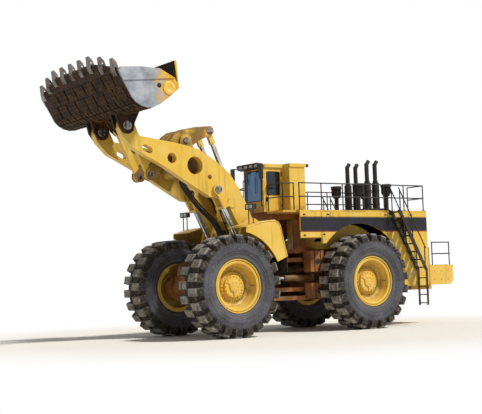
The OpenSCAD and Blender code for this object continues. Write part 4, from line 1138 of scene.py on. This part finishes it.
class LOADER_OT_cab(bpy.types.Operator):
    """Window seals, wipers, handles, lamp lenses, mirror glass, padded seat and controls of the cab"""

    bl_idname = "loader.cab"
    bl_label = "Cab"

    def execute(self, context):
        self.seals()
        self.outside()
        self.door()
        self.mirrors()
        self.lamps()
        self.seat()
        self.controls()
        return {"FINISHED"}

    def seals(self):
        """Rubber round the windscreen, the rear and right windows, and the door's pane"""
        thick = fasteners().seal_radius
        shape = bmesh.new()
        tube(shape, rounded_loop(at(0.562, 0, 5.735), LEFT, 0.56, 0.595, 0.07), thick, 8, True)
        tube(shape, rounded_loop(at(-1.162, 0, 5.81), LEFT, 0.51, 0.52, 0.07), thick, 8, True)
        tube(shape, rounded_loop(at(0.075, -0.652, 5.81), AHEAD, 0.415, 0.52, 0.07), thick, 8, True)
        piece("window_seals", shape, "rear", flap_rubber, 60)
        shape = bmesh.new()
        tube(shape, rounded_loop(at(0.075, 0.652, 5.82), AHEAD, 0.315, 0.46, 0.06), thick * 0.85, 8, True)
        piece("door_seal", shape, "cab_door", flap_rubber, 60)

    def outside(self):
        """Wipers, grips beside the windscreen and walkway rails"""
        trim = bmesh.new()
        for y in (0.28, -0.28):
            tube(trim, [at(0.575, y, 6.30), at(0.60, y, 6.29), at(0.597, y - 0.12, 5.78)], 0.011, 8)
            block(trim, at(0.575, y - 0.13, 5.45), at(0.592, y - 0.11, 6.05), 0.004)
            block(trim, at(CAB_X, y - 0.05, 6.26), at(0.605, y + 0.05, 6.33), 0.012)
        rails = (5.225, 5.745)
        for side in SIDES:
            handle(trim, 0.60 * side, ((0.57, 4.95), (0.63, 4.99), (0.63, 5.95), (0.57, 6.0)), 0.017, 5)
            for z in rails:
                tube(trim, [at(0.385, 0.70 * side, z), at(0.385, 1.62 * side, z)], 0.022)
            tube(trim, [at(0.385, 0.72 * side, DECK_Z), at(0.385, 0.72 * side, rails[1])], 0.022)
        piece("cab_trim", trim, "rear", black_powder, 40)

    def door(self):
        """The door's handle and the barrels of its hinges"""
        shape = bmesh.new()
        block(shape, at(0.33, 0.648, 5.10), at(0.46, 0.664, 5.27), 0.006)
        bends = ((0.66, 5.13), (0.70, 5.145), (0.70, 5.225), (0.66, 5.24))
        tube(shape, swept([at(0.40, y, z) for y, z in bends], 4), 0.012)
        for z in (5.0, 6.2):
            hinge = facing(at(-0.325, 0.668, z - 0.07), UP)
            lathe(shape, hinge, ((0, 0), (0.02, 0), (0.02, 0.14), (0, 0.14)), 16)
        piece("door_handle", shape, "cab_door", black_powder, 40)

    def mirrors(self):
        """Glass of the two mirrors"""
        shape = bmesh.new()
        both(shape, (0.832, 0.88, 5.99), (0.842, 1.06, 6.49), 0.004)
        piece("mirror_glass", shape, "rear", mirror_glass)

    def lamps(self):
        """Lenses of the roof lamps and the fender lamps"""
        roof = bmesh.new()
        for y in (0.175, 0.525):
            both(roof, (0.765, y - 0.12, 6.468), (0.80, y + 0.12, 6.572), 0.012)
        both(roof, (-1.345, 1.03, 6.46), (-1.325, 1.13, 6.56), 0.01)
        piece("roof_lamp_lenses", roof, "rear", clear_lens)
        fender = bmesh.new()
        for y in (2.08, 2.31):
            both(fender, (2.40, y, 4.69), (2.432, y + 0.19, 4.83), 0.014)
        piece("fender_lamp_lenses", fender, "front", clear_lens)

    def seat(self):
        """Swollen pads in place of the plain seat, on a sprung stand"""
        low, high = (Vector(corner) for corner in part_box("cab_seat"))
        size = high - low
        # Cushion, back, headrest and armrests: opposite corners as shares of the plain seat's box
        pads = (
            ((0.14, 0.04, 0.27), (1.0, 0.96, 0.41)),
            ((0.0, 0.06, 0.37), (0.23, 0.94, 0.86)),
            ((0.0, 0.28, 0.87), (0.17, 0.72, 1.0)),
            ((0.3, 0.0, 0.52), (0.86, 0.09, 0.58)),
            ((0.3, 0.91, 0.52), (0.86, 1.0, 0.58)),
        )
        shape = bmesh.new()
        for shares in pads:
            first, second = (low + Vector([size[k] * share[k] for k in range(3)]) for share in shares)
            block(shape, first, second, 0.028)
        made = piece("seat_cushions", shape, "rear", cab_vinyl, 180)
        self.stuffed(made)
        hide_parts("cab_seat")
        stand = bmesh.new()
        foot = (low + high) / 2
        foot.z = low.z
        block(stand, foot - Vector((0.2, 0.2, 0)), foot + Vector((0.2, 0.2, 0.03)), 0.006)
        collar = ((0.17, 0.03), (0.17, 0.08), (0.13, 0.10))
        bellows = ((0.15, 0.13), (0.12, 0.16), (0.15, 0.19), (0.12, 0.22), (0.15, size.z * 0.26))
        lathe(stand, facing(foot, UP), collar + bellows, 32)
        pan = (low.x + 0.08, low.y + 0.05, low.z + size.z * 0.235)
        block(stand, pan, (high.x - 0.05, high.y - 0.05, low.z + size.z * 0.275), 0.01)
        piece("seat_stand", stand, "rear", black_powder, 40)

    def stuffed(self, made):
        """Swells the pads in a short cloth run under pressure, no point by more than PAD_SWELL"""
        scene = bpy.context.scene
        even = made.modifiers.new("even", "REMESH")
        even.mode = "VOXEL"
        even.voxel_size = PAD_VOXEL
        graph = bpy.context.evaluated_depsgraph_get()
        made.data = bpy.data.meshes.new_from_object(made.evaluated_get(graph))
        made.modifiers.clear()
        cloth = made.modifiers.new("stuffing", "CLOTH")
        cloth.settings.use_pressure = True
        cloth.settings.uniform_pressure_force = PAD_PRESSURE
        cloth.settings.effector_weights.gravity = 0
        for step in range(1, PAD_FRAMES + 1):
            scene.frame_set(step)
        graph = bpy.context.evaluated_depsgraph_get()
        swollen = bpy.data.meshes.new_from_object(made.evaluated_get(graph))
        made.modifiers.clear()
        for vert, target in zip(made.data.vertices, swollen.vertices):
            move = target.co - vert.co
            vert.co += move.normalized() * min(move.length, PAD_SWELL)
        scene.frame_set(1)
        made.data.shade_smooth()
        if not made.data.materials:
            made.data.materials.append(finish(cab_vinyl))

    def controls(self):
        """A display on the console and a stick on each side of the seat"""
        low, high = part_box("cab_console")
        x = (low[0] + high[0]) / 2
        shape = bmesh.new()
        block(shape, (x - 0.04, -0.11, high[2] - 0.01), (x, 0.11, high[2] + 0.14), 0.012)
        knob = ((0, 0), (0.025, 0.005), (0.03, 0.05), (0.02, 0.08), (0, 0.085))
        for side in SIDES:
            y = 0.36 * side
            tube(shape, [at(0.05, y, 5.25), at(0.055, y, 5.36), at(0.08, y, 5.43)], 0.012)
            lathe(shape, facing(at(0.08, y, 5.42), (0.1, 0, 1)), knob, 20)
        piece("cab_controls", shape, "rear", cab_vinyl, 40)


class LOADER_OT_deck(bpy.types.Operator):
    """Hatches, rail feet, stack clamps, pre-cleaner fins, panel seams and latches, and arch liners"""

    bl_idname = "loader.deck"
    bl_label = "Deck"

    def execute(self, context):
        self.hatches()
        self.rail_feet()
        self.stacks()
        self.panels()
        self.panel_bolts()
        self.liners()
        self.stairs()
        return {"FINISHED"}

    def hatches(self):
        """Three pairs of bolted plates behind the cab, each with a grip"""
        top = DECK_Z + 0.022
        plates = bmesh.new()
        bolts = bmesh.new()
        for back, front in ((-4.3, -3.3), (-3.2, -2.2), (-2.1, -1.35)):
            both(plates, (back, 0.06, DECK_Z + 0.002), (front, 1.2, top), 0.006)
            for x in (back + 0.08, front - 0.08):
                for y in (-1.12, -0.14, 0.14, 1.12):
                    hex_bolt(bolts, at(x, y, top), UP, 0.04, 0.02)
            low = top - 0.002
            bends = ((back + 0.4, low), (back + 0.4, low + 0.05), (back + 0.6, low + 0.05), (back + 0.6, low))
            for y in (0.26, -1.0):
                handle(bolts, y, bends, 0.012, 4)
        piece("deck_hatches", plates, "rear", tread_plate)
        piece("hatch_bolts", bolts, "rear", pin_steel, 40)

    def rail_feet(self):
        """A bolted foot under each post of the deck rails"""
        top = DECK_Z + 0.017
        shape = bmesh.new()
        for i in range(7):
            x = -6.80 + 1.085 * i
            both(shape, (x - 0.065, 1.76, DECK_Z + 0.001), (x + 0.065, 1.88, top), 0.004)
            for dx in (-0.045, 0.045):
                for y in (-1.86, -1.78, 1.78, 1.86):
                    hex_bolt(shape, at(x + dx, y, top), UP, 0.024, 0.014)
        piece("rail_feet", shape, "rear", black_powder)

    def stacks(self):
        """Clamps on the exhaust stacks, and fins and rims on the air pre-cleaners"""
        clamps = bmesh.new()
        fins = bmesh.new()
        for x in (-4.82, -5.27):
            for z in (5.05, 5.62):
                for side in SIDES:
                    band(clamps, facing(at(x, 0.62 * side, z), UP), 0.152, 0.168)
                both(clamps, (x + 0.155, 0.59, z - 0.025), (x + 0.205, 0.65, z + 0.025), 0.006)
        for x in (-4.23, -5.78):
            for side in SIDES:
                place = facing(at(x, 0.7 * side, 5.47), UP)
                for turned in spread(place, 28):
                    block(fins, (0.185, -0.006, 0.05), (0.206, 0.006, 0.30), 0.0, turned)
                lathe(fins, place, ((0.205, 0.305), (0.232, 0.315), (0.232, 0.335), (0.205, 0.345)))
        piece("stack_clamps", clamps, "rear", heat_black, 40)
        piece("cleaner_fins", fins, "rear", heat_black, 40)

    def panels(self):
        """Seams and latches of the side panels"""
        seams = bmesh.new()
        for x, low in ((-1.27, 3.42), (-1.72, 3.85), (-4.72, 3.85), (-5.85, 3.42)):
            both(seams, (x - 0.007, PANEL_Y - 0.007, low), (x + 0.007, PANEL_Y + 0.013, 4.60), 0.002)
        for back, front, z in ((-1.26, -0.26, 3.63), (-6.85, -0.26, 4.44)):
            both(seams, (back, PANEL_Y - 0.014, z - 0.005), (front, PANEL_Y + 0.006, z + 0.005), 0.002)
        piece("panel_seams", seams, "rear", heat_black)
        latches = bmesh.new()
        spots = [(x, 4.52) for x in (-0.42, -1.6, -4.6, -6.0)]
        for x, z in spots + [(-1.38, 3.75), (-6.0, 3.7), (-0.42, 3.72)]:
            low = (x - 0.05, PANEL_Y - 0.002, z - 0.028)
            both(latches, low, (x + 0.05, PANEL_Y + 0.022, z + 0.028), 0.007)
        piece("panel_latches", latches, "rear", black_powder)

    def panel_bolts(self):
        """Bolts along the top of the side panels and round the rear wheel arches, below the band"""
        spots = [(-6.6 + 0.56 * i, 4.57) for i in range(12)]
        for i in range(13):
            turn = math.radians(46 + 10.3 * i)
            z = AXLE_Z + 2.36 * math.sin(turn)
            if z < 3.82:
                spots.append((-AXLE_X + 2.36 * math.cos(turn), z))
        shape = bmesh.new()
        for x, z in spots:
            for side in SIDES:
                hex_bolt(shape, at(x, PANEL_Y * side, z), LEFT * side, 0.034, 0.016)
        piece("panel_bolts", shape, "rear", yellow_enamel)

    def liners(self):
        """Thin curved sheets under the rear wheel arches"""
        start = math.radians(44)
        x = -AXLE_X + 2.33 * math.cos(start)
        z = AXLE_Z + 2.33 * math.sin(start)
        shape = bmesh.new()
        for side in SIDES:
            known = set(shape.faces)
            ends = [shape.verts.new(at(x, y * side, z)) for y in (1.03, 1.86)]
            edge = shape.edges.new(ends)
            bmesh.ops.spin(
                shape,
                geom=ends + [edge],
                cent=at(-AXLE_X, 0, AXLE_Z),
                axis=-LEFT,
                angle=math.radians(124.8),
                steps=24,
            )
            # Doubled without thickness, so that the sheet has a face on both sides; the coincident faces
            # render near black, as painted shade under the arch
            sheet = [face for face in shape.faces if face not in known]
            bmesh.ops.solidify(shape, geom=sheet, thickness=0.0)
        piece("arch_liners", shape, "rear", liner_paint_and_shade, 40)

    def stairs(self):
        """Grip bars on the treads"""
        shape = bmesh.new()
        for i in range(8):
            z = 2.37 + 0.32331 * i
            for ahead in (0.04, 0.12, 0.20):
                x = -6.26 + 0.17743 * i + ahead
                both(shape, (x - 0.01, 1.95, z - 0.002), (x + 0.01, 2.41, z + 0.008), 0.002)
        piece("tread_bars", shape, "rear", black_powder)


class LOADER_OT_rear_end(bpy.types.Operator):
    """Radiator bars and fan, tail and work lamps, tread strips and bolts of the rear end"""

    bl_idname = "loader.rear_end"
    bl_label = "Rear end"

    def execute(self, context):
        self.radiator()
        self.lamps()
        self.counterweight()
        return {"FINISHED"}

    def radiator(self):
        """Upright bars over the radiator, with the fan behind them"""
        bars = bmesh.new()
        for i in range(29):
            y = -1.4 + 0.1 * i
            tube(bars, [at(-6.885, y, 3.25), at(-6.885, y, 4.5)], 0.007, 6)
        piece("radiator_bars", bars, "rear", black_powder, 40)
        fan = bmesh.new()
        place = facing(at(-6.60, 0, 3.87), -AHEAD)
        lathe(fan, place, ((0.58, 0.0), (0.60, 0.06), (0.63, 0.06), (0.63, 0.0)), 64)
        disc(fan, place, 0.16, 0.0, 0.06, 0.13, 0.08, 32)
        for turned in spread(place, 8):
            pitched = turned @ Matrix.Rotation(0.45, 4, "X")
            block(fan, (0.15, -0.09, 0.02), (0.55, 0.09, 0.032), 0.003, pitched)
        piece("radiator_fan", fan, "rear", engine_iron, 40)

    def lamps(self):
        """Round tail lamps in the bumper and square work lamps above the wings"""
        housings = bmesh.new()
        red = bmesh.new()
        clear = bmesh.new()
        for side in SIDES:
            place = facing(at(BUMPER_X, 1.38 * side, 2.2), -AHEAD)
            lathe(housings, place, ((0.10, -0.02), (0.10, 0.012), (0.082, 0.012), (0.082, 0.0), (0, 0.0)))
            lathe(red, place, ((0.08, 0.0), (0.075, 0.008), (0.05, 0.014), (0, 0.016)))
        both(housings, (-7.03, 1.55, 4.2), (-6.87, 1.75, 4.38), 0.02)
        both(clear, (-7.04, 1.57, 4.22), (-7.025, 1.73, 4.36), 0.012)
        piece("rear_lamp_housings", housings, "rear", lamp_housing, 40)
        piece("tail_lenses", red, "rear", red_lens, 40)
        piece("work_lamp_lenses", clear, "rear", clear_lens)

    def counterweight(self):
        """Tread strips on top of the bumper, bolts on its ends and two lifting eyes"""
        strips = bmesh.new()
        for i in range(6):
            x = -8.45 + 0.2 * i
            both(strips, (x, 0.3, BUMPER_Z - 0.002), (x + 0.06, 1.45, BUMPER_Z + 0.012), 0.004)
        piece("bumper_strips", strips, "rear", flap_rubber)
        bolts = bmesh.new()
        low = BUMPER_Z - 0.01
        eye = ((-7.9, low), (-7.9, low + 0.1), (-7.72, low + 0.1), (-7.72, low))
        end_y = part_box("bumper")[1][1]
        for side in SIDES:
            for x in (-8.3, -7.9, -7.5):
                for z in (1.85, 2.2):
                    hex_bolt(bolts, at(x, end_y * side, z), LEFT * side, 0.055, 0.025)
            handle(bolts, 0.9 * side, eye, 0.025, 6)
        piece("bumper_bolts", bolts, "rear", yellow_enamel, 40)


class LOADER_OT_chassis(bpy.types.Operator):
    """Drive shafts, articulation hoses, tank straps, mud flaps, fender beads and axle bolts"""

    bl_idname = "loader.chassis"
    bl_label = "Chassis"

    def execute(self, context):
        self.shafts()
        self.hoses()
        self.tanks()
        self.fenders()
        self.axles()
        return {"FINISHED"}

    def shafts(self):
        """A flanged shaft each way from the hitch, and the cross between them"""
        hitch_z = JOINTS["steer"]["pos_m"][2]
        rows = (
            ("rear", at(-1.69, 0, hitch_z), at(-0.16, 0, hitch_z)),
            ("front", at(0.16, 0, hitch_z), at(2.6, 0, 1.95)),
        )
        for body, start, end in rows:
            way = end - start
            reach = way.length
            near = ((0, 0), (0.16, 0), (0.16, 0.05), (0.10, 0.10))
            far = ((0.10, reach - 0.10), (0.16, reach - 0.05), (0.16, reach), (0, reach))
            shape = bmesh.new()
            lathe(shape, facing(start, way), near + far)
            bolt_ring(shape, facing(start + way * (0.05 / reach), way), 0.13, 8, 0.04, 0.025)
            piece("drive_shaft_" + body, shape, body, engine_iron, 40)
        cross = bmesh.new()
        for axis in (LEFT, UP):
            place = facing(at(0, 0, hitch_z) - axis * 0.13, axis)
            lathe(cross, place, ((0, 0), (0.04, 0), (0.04, 0.26), (0, 0.26)), 20)
        piece("drive_joint", cross, "rear", pin_steel, 40)

    def hoses(self):
        """Six hoses over the hitch, hanging at three heights"""
        shape = bmesh.new()
        for index, y in enumerate((-0.52, -0.43, -0.34, 0.34, 0.43, 0.52)):
            sag = 0.05 * (index % 3)
            knots = [
                at(-1.66, y, 2.62),
                at(-1.1, y, 2.58 - sag),
                at(-0.4, y * 0.9, 2.44 - sag),
                at(0.3, y * 0.9, 2.46 - sag),
                at(0.84, y * 0.75, 2.5),
            ]
            tube(shape, swept(knots, 10), fasteners().hose_radius, 12)
        made = piece("hitch_hoses", shape, None, flap_rubber, 60)
        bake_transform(made)

    def tanks(self):
        """Straps round the side tanks and a round cover on each"""
        shape = bmesh.new()
        for side in SIDES:
            for low, high in ((1.28, 1.88), (2.31, 3.14)):
                under = low - 0.008
                over = high + 0.008
                corners = ((0.955, under), (1.412, under), (1.412, over), (0.955, over))
                for x in (-1.55, -1.25):
                    points = [at(x, y * side, z) for y, z in corners]
                    for pair in zip(points, points[1:]):
                        tube(shape, pair, 0.016, 8)
                cover = facing(at(-1.4, 1.40 * side, (low + high) / 2), LEFT * side)
                disc(shape, cover, 0.11, -0.01, 0.012, 0.095, 0.02)
        piece("tank_straps", shape, "rear", black_powder, 40)

    def fenders(self):
        """A bead along the outer edge of each front fender and a rubber flap behind it"""
        path = ((-0.45, 2.12), (-1.1, 2.31), (-1.72, 2.37), (-1.95, 2.21), (-2.09, 1.63), (-2.24, 1.03))
        beads = bmesh.new()
        for side in SIDES:
            edge = [at(AXLE_X + x, 2.565 * side, AXLE_Z + z - 0.018) for x, z in path]
            tube(beads, swept(edge, 6), 0.02, 8)
        piece("fender_beads", beads, "front", yellow_enamel, 40)
        flaps = bmesh.new()
        both(flaps, (AXLE_X - 2.285, 1.42, 2.30), (AXLE_X - 2.262, 2.50, 2.98), 0.006)
        piece("mud_flaps", flaps, "front", flap_rubber)

    def axles(self):
        """Bolts round the flanges of both axles"""
        for body, x in (("front", AXLE_X), ("rear", -AXLE_X)):
            shape = bmesh.new()
            for side in SIDES:
                bolt_ring(shape, facing(at(x, 1.44 * side, AXLE_Z), LEFT * -side), 0.42, 20, 0.05, 0.03)
            piece("axle_bolts_" + body, shape, body, pin_steel)


class LOADER_OT_stage(bpy.types.Operator):
    """Pale floor, white background, soft light and the camera"""

    bl_idname = "loader.stage"
    bl_label = "Stage"

    def execute(self, context):
        settings = stage()
        self.camera(context.scene, settings)
        self.light(context.scene, settings)
        self.background(context.scene, settings)
        self.floor(context.scene, settings)
        context.scene.view_settings.view_transform = "Standard"
        return {"FINISHED"}

    def camera(self, scene, settings):
        """The camera fitted to the photograph"""
        yaw = settings.camera_yaw
        pitch = settings.camera_pitch
        roll = settings.camera_roll
        ahead = Vector((math.cos(pitch) * math.cos(yaw), math.cos(pitch) * math.sin(yaw), math.sin(pitch)))
        right = ahead.cross(UP).normalized()
        up = right.cross(ahead)
        across = math.cos(roll) * right + math.sin(roll) * up
        over = math.cos(roll) * up - math.sin(roll) * right
        data = bpy.data.cameras.new("camera")
        data.sensor_width = 36
        data.sensor_fit = "HORIZONTAL"
        data.lens = settings.camera_lens
        data.clip_end = 400
        made = bpy.data.objects.new("camera", data)
        turn = Matrix((across, over, -ahead)).transposed().to_4x4()
        made.matrix_world = Matrix.Translation(at(*settings.camera_place)) @ turn
        scene.collection.objects.link(made)
        scene.camera = made

    def light(self, scene, settings):
        """A high sun from ahead and the left"""
        data = bpy.data.lights.new("key", "SUN")
        data.energy = settings.sun_strength
        data.angle = math.radians(7)
        made = bpy.data.objects.new("key", data)
        made.rotation_mode = "QUATERNION"
        made.rotation_quaternion = Vector((0.34, -0.58, -0.74)).to_track_quat("-Z", "Y")
        scene.collection.objects.link(made)

    def background(self, scene, settings):
        """White to the camera and in reflections, and a weak bluish fill to everything else"""
        world = bpy.data.worlds.new("studio")
        scene.world = world
        world.use_nodes = True
        tree = world.node_tree
        tree.nodes.clear()
        rays = add(tree, "rays").node.outputs
        seen = add(tree, "most", rays["Is Camera Ray"], rays["Is Glossy Ray"])
        seen = add(tree, "most", seen, rays["Is Transmission Ray"])
        fill = add(tree, "sky", linear("#E9EEF6"), settings.sky_strength)
        white = add(tree, "sky", (1, 1, 1, 1), 1.0)
        add(tree, "world", add(tree, "either", seen, fill, white))

    def floor(self, scene, settings):
        """A pale floor that fades to white away from the machine"""
        shape = bmesh.new()
        bmesh.ops.create_grid(shape, x_segments=1, y_segments=1, size=150)
        mesh = bpy.data.meshes.new("floor")
        shape.to_mesh(mesh)
        shape.free()
        made = bpy.data.objects.new("floor", mesh)
        scene.collection.objects.link(made)
        matt, tree, place = new_finish("Floor_matt")
        shade(matt, Base_Color=settings.floor_tone, Roughness=0.9)
        fade = add(tree, "step", add(tree, "length", place), 8.0, 17.0)
        near = tree.nodes["Principled BSDF"].outputs["BSDF"]
        far = add(tree, "glow", (1, 1, 1, 1), 1.0)
        wire(tree.nodes["Material Output"], add(tree, "either", fade, near, far))
        mesh.materials.append(matt)


class LOADER_PT_panel(bpy.types.Panel):
    """Lists the loader's pieces and their sizes"""

    bl_idname = "LOADER_PT_panel"
    bl_label = "Loader"
    bl_space_type = "VIEW_3D"
    bl_region_type = "UI"
    bl_category = "Loader"

    def draw(self, context):
        for operator in OPERATORS:
            self.layout.operator(operator.bl_idname)
        for name, group in GROUPS.items():
            box = self.layout.box()
            for key in group.__annotations__:
                box.prop(getattr(context.scene, name), key)


GROUPS = {
    "loader_paint": PaintSettings,
    "loader_stage": StageSettings,
    "loader_fasteners": FastenerSettings,
}
OPERATORS = (
    LOADER_OT_stage,
    LOADER_OT_finishes,
    LOADER_OT_wheels,
    LOADER_OT_working_gear,
    LOADER_OT_bucket,
    LOADER_OT_cab,
    LOADER_OT_deck,
    LOADER_OT_rear_end,
    LOADER_OT_chassis,
)


def register():
    """Registers the settings, the operators and the panel."""
    for name, group in GROUPS.items():
        bpy.utils.register_class(group)
        setattr(bpy.types.Scene, name, PointerProperty(type=group))
    for item in OPERATORS + (LOADER_PT_panel,):
        bpy.utils.register_class(item)


def unregister():
    """Takes away what register added."""
    for item in reversed(OPERATORS + (LOADER_PT_panel,)):
        bpy.utils.unregister_class(item)
    for name, group in GROUPS.items():
        delattr(bpy.types.Scene, name)
        bpy.utils.unregister_class(group)


def main():
    """Builds the stage, the finishes and every piece."""
    register()
    bpy.ops.loader.stage()
    bpy.ops.loader.finishes()
    bpy.ops.loader.wheels()
    bpy.ops.loader.working_gear()
    bpy.ops.loader.bucket()
    bpy.ops.loader.cab()
    bpy.ops.loader.deck()
    bpy.ops.loader.rear_end()
    bpy.ops.loader.chassis()


if __name__ == "__main__":
    main()
